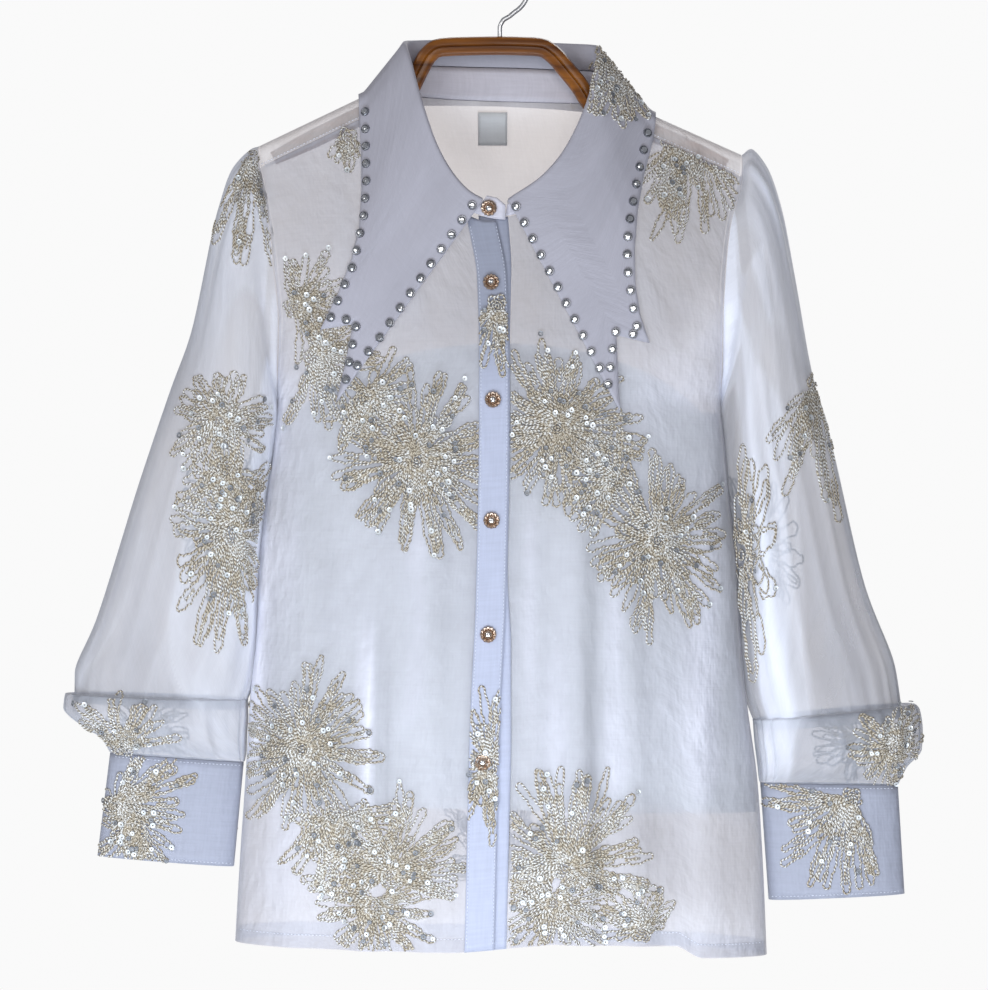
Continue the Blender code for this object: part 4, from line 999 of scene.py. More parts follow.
def ring(outer, inner, depth, angles, squareness=1.0):
    """A ring between an outer and an inner edge, with its outward directions."""
    outer, inner = np.array([outer[0], 0, outer[1]]), np.array([inner[0], 0, inner[1]])
    middle, reach = (outer + inner) / 2, np.linalg.norm(outer - inner) / 2
    out = (outer - inner) / (2 * reach)
    across, front = np.cos(angles), np.sin(angles)
    across = np.sign(across) * np.abs(across) ** squareness
    front = np.sign(front) * np.abs(front) ** squareness
    forward = np.array([0, -1, 0])
    points = middle + np.outer(reach * across, out) + np.outer(depth * front, forward)
    normal = np.outer(across / reach, out) + np.outer(front / depth, forward)
    return points, unit(normal)

def sleeve_folds(angles, along, rows):
    """Push of the long folds at each angle, at this share of the sleeve's length."""
    total = np.zeros_like(angles)
    for top_angle, cuff_angle, start, depth, width in rows:
        place = math.radians(top_angle + (cuff_angle - top_angle) * along)
        ramp = min(max((along - start) / SLEEVE_FOLD_RAMP, 0.0), 1.0)
        apart = np.degrees(np.angle(np.exp(1j * (angles - place))))
        total += depth * ramp * np.exp(-((apart / width) ** 2))
    return total

def cuff_ring(cuff, along, angles, rise=0.0):
    """A ring of the cuff: along is 0 at the sleeve seam and 1 at the wrist."""
    top, low = np.array(cuff[0], float), np.array(cuff[1], float)
    outer_x, outer_z, inner_x, inner_z, depth = top + (low - top) * along
    return ring((outer_x, outer_z + rise), (inner_x, inner_z + rise), depth, angles, CUFF_SQUARENESS)[0]


SLEEVE_STEPS = 9
SLEEVE_FOLD_RAMP = 0.2
RING_WOBBLE = ((3, 0.35, 0.4), (5, 0.25, 1.9), (9, 0.12, 4.1))


def pleats(angles, count, seed):
    """Gathers of uneven width: a wave whose places are pushed about, with a smaller one on it."""
    pushed = angles + sum(size / number * np.sin(number * angles + shift + seed)
                          for number, size, shift in RING_WOBBLE)
    return 0.8 * np.cos(count * pushed) + 0.3 * np.cos(1.7 * count * pushed + seed)


def soft_rows(rows, steps):
    """Rows between the given ones, on a smooth curve through each of their columns."""
    rows = np.asarray(rows, float)
    flat = rows.reshape(len(rows), -1)
    keys = np.arange(len(rows))
    at = np.linspace(0, len(rows) - 1, (len(rows) - 1) * steps + 1)
    dense = np.stack([smooth(keys, flat[:, k], at) for k in range(flat.shape[1])], axis=1)
    return dense.reshape(len(at), *rows.shape[1:])


# Painted light and shade in broad bands on the front of each sleeve. Rows: how far down
# the sleeve, where the band starts and ends (0 at the body, 1 outside), and its weight: above
# 0 the cloth is more opaque and its colour whitened as painted light, below 0 its colour is
# darkened as painted shade.
PAINTED_SLEEVE_BANDS = {
    -1: (((0, 0.25, 0.95, 0.5), (0.25, 0.7, 1, 0.1), (0.45, 0.55, 0.8, -0.35), (0.6, 0.3, 1, -0.8),
          (0.72, 0.3, 1, -0.7), (0.85, 0.2, 1, -0.1), (1, 0.2, 1, -0.1)),
         ((0, 0, 0.1, 0.2), (0.1, 0, 0.2, 0.5), (0.34, 0, 0.16, 0.5), (0.5, 0, 0.1, 0.2),
          (0.7, 0, 0.1, 0), (1, 0, 0.1, 0))),
    1: (((0, 0, 0.55, 0.8), (0.1, 0, 0.55, 0.6), (0.16, 0.3, 0.72, 0.4), (0.34, 0.22, 0.6, 0.25),
         (0.5, 0.08, 0.3, 0.4), (0.72, 0.05, 0.2, 0.35), (1, 0, 0.2, 0)),
        ((0, 0.5, 0.9, -0.1), (0.14, 0.38, 0.58, -0.55), (0.24, 0.4, 0.6, -0.35), (0.34, 0.68, 1, -0.3),
         (0.5, 0.42, 1, -0.95), (0.72, 0.3, 1, -0.9), (0.85, 0.2, 1, -0.45), (1, 0.2, 1, -0.45)),
        ((0, 0, 0.02, 0), (0.12, 0, 0.02, 0), (0.18, 0, 0.16, -0.9), (0.4, 0, 0.14, -1),
         (0.6, 0, 0.05, -0.6), (1, 0, 0.02, 0))),
}


# A painted band comes on over this share of the width, on the ring's front half only.
PAINTED_BAND_SOFTNESS = 0.05
FRONT_SOFTNESS = 8
# The inner edge is drawn in beside the body: millimetres, share of the width, and where.
PULL = 2.4
PULL_REACH = 0.15
PULL_ALONG = (0, 0.03, 0.6, 0.75)
PULL_SHARE = (0, 1, 1, 0)
# How much denser the cloth is at the head's gathers, the cuff's gathers and the long folds.
# There the cloth is more opaque, and its colour is whitened as painted light.
DENSE_HEAD = 0.18
DENSE_CUFF = 0.12
DENSE_CUFF_MOST = 1.6
DENSE_FOLD = 0.4
DEEP_FOLD = 9
CUFF_PUSH = 0.8


def share_across(points, side):
    """How far out each point of a ring is: 0 at the body and 1 outside."""
    return (side * points[:, 0] - (side * points[:, 0]).min()) / np.ptp(points[:, 0])


def painted_sleeve_bands(points, side, along):
    """Painted light and shade, and more opaque cloth, at each point of a ring, from the painted bands on its
    front.
    """
    across = share_across(points, side)
    front = np.clip((points[:, 1].mean() + FRONT_SOFTNESS / 2 - points[:, 1]) / FRONT_SOFTNESS, 0, 1)
    total = np.zeros(len(points))
    for fold in PAINTED_SLEEVE_BANDS[side]:
        downs, *columns = zip(*fold)
        start, end, weight = (np.interp(along, downs, values) for values in columns)
        rise = np.clip((across - start) / PAINTED_BAND_SOFTNESS + 0.5, 0, 1) if start > 0.01 else 1.0
        total += weight * rise * np.clip((end - across) / PAINTED_BAND_SOFTNESS + 0.5, 0, 1)
    return total * front


def sleeve_cloth(side, rings, folds, cuff, seed):
    angles = turns_round(SLEEVE_POINTS)
    loop = armhole_loop(side, angles)
    loop[:, 0] += side * ARMHOLE_GAP
    places, outs, strengths = [loop], [], []
    for outer_x, outer_z, inner_x, inner_z, depth, *strength in rings:
        points, out = ring((outer_x, outer_z), (inner_x, inner_z), depth, angles)
        places.append(points)
        outs.append(out)
        strengths.append(strength)
    places.append(cuff_ring(cuff, 0.0, angles, rise=SEAM_GAP))
    outs = [outs[0], *outs, outs[-1]]
    strengths = [(0.0, 0.0, 0.0), *strengths, (0.0, 0.0, 0.9)]
    places, outs, strengths = (soft_rows(part, SLEEVE_STEPS) for part in (places, outs, strengths))
    window = np.cos(np.clip(np.degrees(np.angle(np.exp(1j * angles))) / HEAD_REACH, -1, 1) * math.pi / 2)
    grid, full = [], []
    for number, (points, out, (head, hang, gathers)) in enumerate(zip(places, outs, strengths)):
        along = number / (len(places) - 1)
        hanging = hang * sleeve_folds(angles, along, folds)
        push = head * window * pleats(angles, 3 * HEAD_GATHERS / 2 + 2, seed) + hanging
        push = push + CUFF_PUSH * gathers * pleats(angles, CUFF_GATHERS + 6, seed + 1)
        grid.append(points + unit(out) * push[:, None])
        pull = np.interp(along, PULL_ALONG, PULL_SHARE)
        grid[-1][:, 0] -= side * PULL * pull * np.clip(1 - share_across(points, side) / PULL_REACH, 0, 1)
        # Each ring's dense values: gathers and folds whiten the colour as painted light, and the bands add
        # painted light and shade.
        full.append(DENSE_HEAD * head * window + DENSE_CUFF * min(gathers, DENSE_CUFF_MOST)
                    + DENSE_FOLD * np.clip(hanging / DEEP_FOLD, 0, 1) + painted_sleeve_bands(points, side, along))
    return grid, full


def sleeve(name, side, *tables):
    grid, full = sleeve_cloth(side, *tables)
    full = [[*row, row[0]] for row in full]
    piece = panel(f"{name}_organza", grid, SLEEVE_ORGANZA, around=True, flip=side < 0, dense=full)
    return finish_piece(piece, "organza", name)


sleeve_right = sleeve("sleeve_right", -1, LEFT_SLEEVE_RINGS, LEFT_SLEEVE_FOLDS, LEFT_CUFF, 0.7)
sleeve_left = sleeve("sleeve_left", 1, RIGHT_SLEEVE_RINGS, RIGHT_SLEEVE_FOLDS, RIGHT_CUFF, 2.3)
print("sleeves:", triangles(sleeve_right), triangles(sleeve_left), "triangles")


# %% [markdown]
# ## Cuffs
#
# The cuffs are doubled, so they are solid and stand crisply. They are rings too, a little
# squarer than an ellipse because a cuff hangs flat.

# %% Make the cuffs
CUFF_RIPPLE = 0.35


def cuff_cloth(name, cuff, flip):
    angles = turns_round(CUFF_POINTS)
    rows = []
    for along in np.linspace(0, 1, CUFF_ROWS):
        ripple = CUFF_RIPPLE * math.sin(math.pi * along) * np.cos(3 * angles + 4 * along)
        points = cuff_ring(cuff, along, angles)
        points[:, 1] += ripple * np.sign(points[:, 1])
        rows.append(points)
    return finish_piece(panel(name, rows, CUFF, around=True, flip=flip, wall=CUFF_WALL), "cuff_cotton")


cuff_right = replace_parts(cuff_cloth("cuff_right_cotton", LEFT_CUFF, True), "cuff_right")
cuff_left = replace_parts(cuff_cloth("cuff_left_cotton", RIGHT_CUFF, False), "cuff_left")

# %% [markdown]
# ## Collar
#
# The stand rises from the neck seam. The leaf starts on top of it, turns over the roll
# line and falls to its two long points on each side. We find the seam, the roll and the
# outer edge at the same share of the way round, and join them column by column. A point
# that would sink into the shoulder is pushed out again.

# %% Collar lines
def neck_seam():
    """The seam between body and collar, from the button tab round the back and forward again."""
    places = []

    def front_part(start, end):
        for x in np.linspace(start, end, 16):
            z = smooth(NECK_FRONT_X, NECK_FRONT_Z, x)
            places.append((x, float(front_y(x, z)), float(z)))

    def arch(x, start, end):
        level = float(shoulder_axis(x))
        for turn in np.linspace(start, end, 7):
            places.append((x, SHOULDER_RADIUS * math.cos(turn), level + SHOULDER_RADIUS * math.sin(turn)))

    front_part(-STAND_END, -NECK_SIDE)
    arch(-NECK_SIDE, math.pi, 0)
    for x in np.linspace(-NECK_SIDE, NECK_SIDE, 21)[1:-1]:
        z = smooth(NECK_BACK_X, NECK_BACK_Z, x)
        places.append((x, float(back_y(x, z)), float(z)))
    arch(NECK_SIDE, 0, math.pi)
    front_part(NECK_SIDE, STAND_START)
    return np.array(places)

def seam_at(shares):
    seam = neck_seam()
    length = lengths_of(seam)
    return on_line(np.asarray(shares) * length[-1], length, seam)

def roll_at(shares, name=None):
    keys = column(ROLL_ROWS, ROLL_COLUMNS, "share")
    if name:
        return smooth(keys, column(ROLL_ROWS, ROLL_COLUMNS, name), shares)
    return np.stack([smooth(keys, column(ROLL_ROWS, ROLL_COLUMNS, k), shares) for k in "xyz"], axis=1)

def collar_frame(shares):
    """Seam point, stand's top, roll point, the way up and the way out at each share."""
    seam, roll = seam_at(shares), roll_at(shares)
    seam[:, 0] *= STAND_INSET
    up = unit(roll - seam)
    stand_top = seam + (roll - seam) * roll_at(shares, "stand")[:, None]
    along = unit(roll_at(np.clip(shares + 0.01, 0, 1)) - roll_at(np.clip(shares - 0.01, 0, 1)))
    out = unit(np.cross(up, along))
    return seam, stand_top, roll, up, out

def off_body(place, clearance):
    """The nearest place that lies this far outside the body."""
    x, y, z = place
    level = float(shoulder_axis(x))
    if z < level:
        if y < 0:
            return np.array((x, min(y, float(front_y(x, z)) - clearance), z))
        return np.array((x, max(y, float(back_y(x, z)) + clearance), z))
    apart, least = math.hypot(y, z - level), SHOULDER_RADIUS + clearance + SHOULDER_EASE
    if abs(x) < NECK_SIDE or apart >= least:
        return np.array(place)
    return np.array((x, y * least / apart, level + (z - level) * least / apart))

def leaf_edge():
    """Shares and places of the leaf's outer edge, from its left points round to its right ones."""
    left, right = ([(share, x, float(front_y(x, z)) - LEAF_CLEARANCE, z) for share, x, z in edge]
                   for edge in (LEAF_LEFT_EDGE, LEAF_RIGHT_EDGE))
    rows = denser([*left, *LEAF_BACK_EDGE, *right], LEAF_STEPS)
    return rows[:, 0], rows[:, 1:]

def leaf_grid(shares, edge, fall_rows):
    """The leaf rises from the stand, rolls over and falls to its outer edge."""
    seam, stand_top, roll, up, out = collar_frame(shares)
    centre = roll - up * ROLL_RADIUS + out * ROLL_RADIUS
    grid = [stand_top + up * LEAF_SEAM, centre - out * ROLL_RADIUS]
    for turn in (math.pi / 4, math.pi / 2, 3 * math.pi / 4):
        grid.append(centre - out * ROLL_RADIUS * math.cos(turn) + up * ROLL_RADIUS * math.sin(turn))
    leave = centre + out * ROLL_RADIUS
    for step in np.linspace(0, 1, fall_rows + 1):
        fall = leave + (edge - leave) * step
        grid.append(np.array([off_body(place, LEAF_CLEARANCE) if step else place for place in fall]))
    return grid


# %% Stand and leaf
LEAF_STEPS = 5


def stand_rows():
    shares = np.linspace(0, 1, STAND_COLUMNS + 1)
    seam, top, roll, up, out = collar_frame(shares)
    low = seam + up * STAND_LIFT
    rows = []
    for rise in np.linspace(0, 1, 7):
        line = list(low + (top - low) * rise)
        tab = [np.array((x, y0 + (y1 - y0) * rise, z0 + (z1 - z0) * rise)) for x, y0, z0, y1, z1 in TAB_ROWS]
        rows.append(tab + line)
    return rows


# The stand's finish is lightened as painted light, the leaf's darkened as painted shade.
stand = panel("collar_stand_cotton", stand_rows(), STAND_IN_PAINTED_LIGHT, wall=COLLAR_WALL)
leaf = panel("collar_leaf_cotton", leaf_grid(*leaf_edge(), LEAF_ROWS), COLLAR_IN_PAINTED_SHADE, wall=COLLAR_WALL)
finish_piece(stand, "collar_cotton", "collar_stand")
finish_piece(leaf, "collar_cotton", "collar_leaf")
print("collar:", triangles(stand), triangles(leaf), "triangles")


# %% [markdown]
# ## Lining and label
#
# A whiter voile hangs inside the body from the side seams, and stops short of the hem.
# The label is a plain satin tab under the back of the collar, with nothing on it.

# %% Lining
def lining_rows():
    angles = turns_round(LINING_POINTS)
    rows = []
    for step in np.linspace(0, 1, LINING_STEPS + 1):
        row = []
        for angle in angles:
            low = LINING_HEM_LEFT + (LINING_HEM_RIGHT - LINING_HEM_LEFT) * (math.sin(angle) + 1) / 2
            high = LINING_SIDE_TOP + LINING_RISE * max(0.0, abs(math.cos(angle)) - LINING_LEVEL)
            z = low + (high - low) * step
            middle, reach = body_span(z)
            x = middle + reach * math.sin(angle)
            half, folds, sign = ("front", FRONT_FOLDS, -1) if math.cos(angle) > 0 else ("back", BACK_FOLDS, 1)
            y = sign * LINING_HANG * float(body_depth(x, z, half, folds))
            row.append((x - LINING_EASE * math.sin(angle), y, z))
        rows.append(row)
    return rows


lining = finish_piece(panel("lining_voile_tube", lining_rows(), VOILE, around=True), "lining_voile", "lining")


# %% Label
def label_rows():
    rows = []
    for z in np.linspace(LABEL_Z[0], LABEL_Z[1], 8):
        xs = np.linspace(*LABEL_X, 10)
        rows.append([(x, float(back_y(x, z)) - SHEER_WALL - LABEL_GAP, z) for x in xs])
    return rows


LABEL_WALL = 0.6
label = panel("neck_label_satin", label_rows(), SATIN, flip=True, wall=LABEL_WALL)
finish_piece(label, "label_satin", "neck_label")
print("lining and label:", triangles(lining), triangles(label), "triangles")

# %% [markdown]
# ## The hanger
#
# The wooden arms are a rounded bar swept along the shoulder line, with a groove along the
# middle of each face, as turned hangers have. Sweeping a section by hand keeps the groove
# sharp where the bar bends. The hook is one bent wire.

# %% Wooden arms
HANGER_SECTION = (
    (-5.5, -3.6), (-5.5, -0.9), (-4.6, 0), (-5.5, 0.9), (-5.5, 3.6), (-4.6, 5.7), (-2.4, 6.8), (0, 7),
    (2.4, 6.8), (4.6, 5.7), (5.5, 3.6), (5.5, 0.9), (4.6, 0), (5.5, -0.9), (5.5, -3.6), (4.6, -5.7),
    (2.4, -6.8), (0, -7), (-2.4, -6.8), (-4.6, -5.7),
)


def hard_mesh(name, shape, material, smooth_angle=40):
    """A mesh from this shape, smooth but for edges sharper than the angle."""
    mesh = bpy.data.meshes.new(name)
    shape.to_mesh(mesh)
    shape.free()
    mesh.shade_smooth()
    mesh.set_sharp_from_angle(angle=math.radians(smooth_angle))
    mesh.materials.append(material)
    return mesh


def skin(shape, rings, slot=0):
    """Faces that join each closed ring of points to the next."""
    for first, second in zip(rings, rings[1:]):
        for k in range(len(first)):
            after = (k + 1) % len(first)
            shape.faces.new((first[k], first[after], second[after], second[k])).material_index = slot


def sweep(name, line, section, sizes, material):
    """A bar along a flat line in x and z. section gives (depth, height) round it, sizes its scale."""
    along = unit(np.gradient(line, axis=0))
    up = np.stack([-along[:, 1], along[:, 0]], axis=1)
    shape = bmesh.new()
    rings = [[shape.verts.new(((place[0] + rise[0] * h * size) * MM, d * size * MM,
                               (place[1] + rise[1] * h * size) * MM)) for d, h in section]
             for place, rise, size in zip(line, up, sizes)]
    skin(shape, rings)
    shape.faces.new(rings[0][::-1])
    shape.faces.new(rings[-1])
    bmesh.ops.recalc_face_normals(shape, faces=shape.faces)
    return add_object(name, hard_mesh(name, shape, material))


HANGER_STEPS = 5
HANGER_ENDS = (0.72, 0.9)  # size of the bar at its end and one step in
hanger_route = denser(np.stack([HANGER_X, HANGER_Z], axis=1), HANGER_STEPS)
for _ in range(2):
    hanger_route[1:-1] = (hanger_route[:-2] + 2 * hanger_route[1:-1] + hanger_route[2:]) / 4
bar_sizes = [*HANGER_ENDS, *[1.0] * (len(hanger_route) - 4), *HANGER_ENDS[::-1]]
arms = sweep("wooden_arms", hanger_route, HANGER_SECTION, bar_sizes, WOOD)
finish_piece(arms, "hanger_wood", "hanger")


# %% Wire hook
HOOK_POINTS = 64
HOOK_SIDES = 16


def hook_route():
    wire_line = HOOK_RADIUS + HOOK_WIRE / 2
    turns = np.radians(np.linspace(*HOOK_ARC, HOOK_POINTS))
    arc = np.stack([wire_line * np.cos(turns), wire_line * np.sin(turns) - HOOK_RADIUS], axis=1)
    stem = np.array([HOOK_STEM[0], (0.0, -54.0), HOOK_STEM[1], (1.0, -47.4), HOOK_STEM[2]])
    return np.concatenate([stem, (stem[-1:] + arc[:1]) / 2 + np.array([[0.2, -0.4]]), arc])


route = hook_route()
wire_section = [(HOOK_WIRE / 2 * math.sin(t), HOOK_WIRE / 2 * math.cos(t))
                for t in turns_round(HOOK_SIDES)]
hook = sweep("wire_hook", route, wire_section, [1.0] * len(route), STEEL)
finish_piece(hook, "hook_steel", "hanger_hook")
print("hanger built:", triangles(arms), triangles(hook), "triangles")

# %% [markdown]
# ## Geometry Nodes that sew
#
# Two trees do all the sewing. The first gives any drawn line a round cord and stores the
# distance along it for the twist. The second sets a small piece on every point, turned to
# the cloth below it. Both end in a plain mesh, with no modifier left on the piece.

# %% Tree for cords
def node_input(tree, name):
    """Identifier of a tree's input, which is how a modifier names it."""
    for item in tree.interface.items_tree:
        if item.in_out == "INPUT" and item.name == name:
            return item.identifier


def build_cord_tree():
    tree, given, result = new_tree(
        "lay_cord", "GeometryNodeTree",
        (("Geometry", "NodeSocketGeometry", None), ("Radius", FLOAT, 0.0008),
         ("Sides", "NodeSocketInt", 4), ("Material", "NodeSocketMaterial", None)),
        (("Geometry", "NodeSocketGeometry"),))

    def marked(curve, name, measure):
        """The curve with a measure of its own kept under this name, for the finish to read."""
        place = add_node(tree, "GeometryNodeSplineParameter")
        return add_node(tree, "GeometryNodeStoreNamedAttribute", {
            "Name": name, "Geometry": curve, "Value": place.outputs[measure]},
            data_type="FLOAT", domain="POINT").outputs["Geometry"]

    line = add_node(tree, "GeometryNodeMeshToCurve", {"Mesh": given["Geometry"]})
    profile = add_node(tree, "GeometryNodeCurvePrimitiveCircle", {
        "Resolution": given["Sides"], "Radius": given["Radius"]}, mode="RADIUS")
    swept = add_node(tree, "GeometryNodeCurveToMesh", {
        "Curve": marked(line.outputs["Curve"], "along", "Length"),
        "Profile Curve": marked(profile.outputs["Curve"], "around", "Factor"), "Fill Caps": True})
    soft = add_node(tree, "GeometryNodeSetShadeSmooth", {"Geometry": swept.outputs["Mesh"]})
    real = add_node(tree, "GeometryNodeRealizeInstances", {"Geometry": soft.outputs["Geometry"]})
    coloured = add_node(tree, "GeometryNodeSetMaterial", {
        "Geometry": real.outputs["Geometry"], "Material": given["Material"]})
    wire(tree, result, {"Geometry": coloured.outputs["Geometry"]})
    return tree


CORD_TREE = build_cord_tree()


def run_tree(piece, tree, **values):
    """Adds the tree to the piece with these input values and turns the result into its mesh."""
    modifier = piece.modifiers.new("Sewn", "NODES")
    modifier.node_group = tree
    for name, value in values.items():
        modifier[node_input(tree, name)] = value
    plain_mesh(piece)
    return piece


def cord_piece(name, lines, radius, material, sides=4):
    """One object with a cord along each line of points."""
    points, edges = [], []
    for line in lines:
        start = len(points)
        points += [tuple(Vector(p) * MM) for p in line]
        edges += [(k, k + 1) for k in range(start, len(points) - 1)]
    mesh = bpy.data.meshes.new(name)
    mesh.from_pydata(points, edges, [])
    return run_tree(add_object(name, mesh), CORD_TREE, Radius=radius * MM, Sides=sides, Material=material)


# %% Tree for small pieces set on points
def build_setting_tree():
    tree, given, result = new_tree(
        "set_pieces", "GeometryNodeTree",
        (("Geometry", "NodeSocketGeometry", None), ("Piece", "NodeSocketObject", None),
         ("Size", FLOAT, 1.0), ("Spread", FLOAT, 0.0), ("Seed", "NodeSocketInt", 1)),
        (("Geometry", "NodeSocketGeometry"),))

    def turned(name, axis, **more):
        """A rotation that points this axis along the seat's own direction of this name."""
        kept = add_node(tree, "GeometryNodeInputNamedAttribute", {"Name": name}, data_type="FLOAT_VECTOR")
        inputs = {"Vector": kept.outputs["Attribute"]}
        if more:
            inputs["Rotation"] = turned("facing", "Z")
        rotation = add_node(tree, "FunctionNodeAlignRotationToVector", inputs, axis=axis, **more)
        return rotation.outputs["Rotation"]

    points = add_node(tree, "GeometryNodeMeshToPoints", {"Mesh": given["Geometry"]})
    piece = add_node(tree, "GeometryNodeObjectInfo", {"As Instance": True, "Object": given["Piece"]},
                     transform_space="ORIGINAL")
    low, high = (maths(tree, kind, given["Size"], given["Spread"]) for kind in ("SUBTRACT", "ADD"))
    chance = add_node(tree, "FunctionNodeRandomValue", {2: low, 3: high, "Seed": given["Seed"]},
                      data_type="FLOAT")
    placed = add_node(tree, "GeometryNodeInstanceOnPoints", {
        "Points": points.outputs["Points"], "Instance": piece.outputs["Geometry"],
        "Rotation": turned("heading", "X", pivot_axis="Z"), "Scale": chance.outputs[1]})
    real = add_node(tree, "GeometryNodeRealizeInstances", {"Geometry": placed.outputs["Instances"]})
    wire(tree, result, {"Geometry": real.outputs["Geometry"]})
    return tree


SETTING_TREE = build_setting_tree()


def set_pieces(name, seats, small, size=1.0, spread=0.0, seed=1):
    """One object with a copy of small on every seat: (place, facing, heading)."""
    mesh = bpy.data.meshes.new(name)
    mesh.from_pydata([tuple(Vector(place) * MM) for place, _, _ in seats], [], [])
    for number, word in ((1, "facing"), (2, "heading")):
        values = mesh.attributes.new(word, "FLOAT_VECTOR", "POINT")
        values.data.foreach_set("vector", [c for seat in seats for c in seat[number]])
    return run_tree(add_object(name, mesh), SETTING_TREE, Piece=small, Size=size, Spread=spread, Seed=seed)


def small_piece(name, profile, sides, materials, inner_material_from=None, smooth_angle=30):
    """A turned piece from (radius, height) points, with the second material from one ring on."""
    shape = bmesh.new()
    rings = []
    for radius, height in profile:
        turns = turns_round(sides) if radius > 0 else [0.0]
        rings.append([shape.verts.new((radius * math.cos(t) * MM, radius * math.sin(t) * MM, height * MM))
                      for t in turns])
    for number, (outer, inner) in enumerate(zip(rings, rings[1:])):
        slot = int(inner_material_from is not None and number >= inner_material_from)
        for k in range(sides):
            round_face = ((outer, k), (outer, k + 1), (inner, k + 1), (inner, k))
            corners = list(dict.fromkeys(line[at % len(line)] for line, at in round_face))
            if len(corners) > 2:
                shape.faces.new(corners).material_index = slot
    bmesh.ops.recalc_face_normals(shape, faces=shape.faces)
    mesh = hard_mesh(name, shape, materials[0], smooth_angle)
    for extra in materials[1:]:
        mesh.materials.append(extra)
    return bpy.data.objects.new(name, mesh)


# %% [markdown]
# ## Finding the cloth under the needle
#
# To sew on a finished panel we shoot a ray at it, from the front or from behind, and take
# the place and the direction where it lands. A ray that misses has run off the panel, so
# a line of stitching or cord ends there, exactly as it is cut off by a seam.

# %% Rays at the cloth
FAR = 400.0
LAYER_STEP = 6  # a step this deep means that the ray has found another layer


def surface_of(*pieces):
    """One search tree for the surfaces of these pieces, in millimetres."""
    corners, faces = [], []
    for piece in pieces:
        start = len(corners)
        corners += [v.co / MM for v in piece.data.vertices]
        faces += [[start + k for k in face.vertices] for face in piece.data.polygons]
    return BVHTree.FromPolygons(corners, faces)


def land(surface, x, z, side=-1):
    """Where a needle from the front (-1) or from behind (1) meets the cloth, and its direction."""
    place, direction, _, _ = surface.ray_cast(Vector((x, side * FAR, z)), Vector((0, -side, 0)))
    if place is None:
        return None
    if direction.y * side < 0:
        direction = -direction
    return place, direction


def laid_lines(surface, lines, lift, side=-1):
    """Flat lines of (x, z) laid on the cloth and lifted off it, cut where they leave it."""
    laid = []
    for line in lines:
        run, last = [], None
        for x, z in line:
            hit = land(surface, x, z, side)
            jump = hit is not None and last is not None and abs(hit[0].y - last) > LAYER_STEP
            if hit is None or jump:
                if len(run) > 2:
                    laid.append(run)
                run, last = [], None
            if hit is not None:
                run.append(hit[0] + hit[1] * lift)
                last = hit[0].y
        if len(run) > 2:
            laid.append(run)
    return laid


front_surface = surface_of(front_right, front_left)
print("rays at the fronts land at", tuple(round(c, 1) for c in land(front_surface, -100, -400)[0]))

# %% [markdown]
# ## The embroidery
#
# Each motif is a spray like an open flower head. Fingers fan out from its middle, and
# each finger is filled with loops laid one inside the other, which is how a cording
# machine works. The table says where each spray is, how large, which way it opens and
# which piece carries it. The seed keeps every spray the same from run to run.

# %% One spray
CORD_RADIUS = 0.8
CORD_STEP = 2.4
CORD_SPACING = 2.3
LOOP_LEAST = 0.35  # half width at which a loop closes up
WAVES = ((0.55, 1.05), (0.5, 0.37))  # how far the cord sways, and how often
FINGER_TIP, FINGER_TAPER = 0.7, 0.42  # where a finger starts to narrow, and by how much
SPRAY_LAYERS = ((1.0, 0.0, 1.0, 0.12), (0.56, 0.2, 1.9, 0.05))  # size, shift, width and inner end
SPRAY_LOBES = (2, 3, 5, 7)
HEART_RADII = (1.4, 3.4, 5.4, 7.4)


def finger(middle, angle, reach, half_width, bend, chance, start, step):
    """Nested loops that fill one finger of a spray, as flat lines of (x, z)."""
    count = max(6, int(reach * (1 - start) / step))
    share = np.linspace(start, 1, count)
    heading = angle + bend * share
    steps = np.diff(np.concatenate([[0], share])) * reach
    spine = middle + np.cumsum(np.stack([np.cos(heading) * steps, np.sin(heading) * steps], axis=1), axis=0)
    left = np.stack([-np.sin(heading), np.cos(heading)], axis=1)
    narrowing = np.clip((share - FINGER_TIP) / (1 - FINGER_TIP), 0, 1) ** 2
    width = half_width * share**0.9 * (1 - FINGER_TAPER * narrowing)
    loops = []
    inner = 0.0
    while half_width - inner > 0.5:
        offset = width - inner
        keep = offset > LOOP_LEAST
        if keep.sum() > 3:
            body, out, apart = spine[keep], left[keep], offset[keep][:, None]
            wave = sum(sway * np.sin(share[keep] * reach * often + chance.random() * 6)[:, None]
                       for sway, often in WAVES)
            ends = np.linspace(0, math.pi, max(4, int(3 + offset[-1] * 1.3)))[1:-1]
            forward = np.array([math.cos(heading[-1]), math.sin(heading[-1])])
            cap = [body[-1] + left[-1] * offset[-1] * math.cos(t) + forward * offset[-1] * math.sin(t)
                   for t in ends]
            one_side, other_side = body + out * (apart + wave), body - out * (apart + wave)
            loops.append(np.concatenate([one_side, np.array(cap).reshape(-1, 2), other_side[::-1]]))
        inner += CORD_SPACING
    return loops


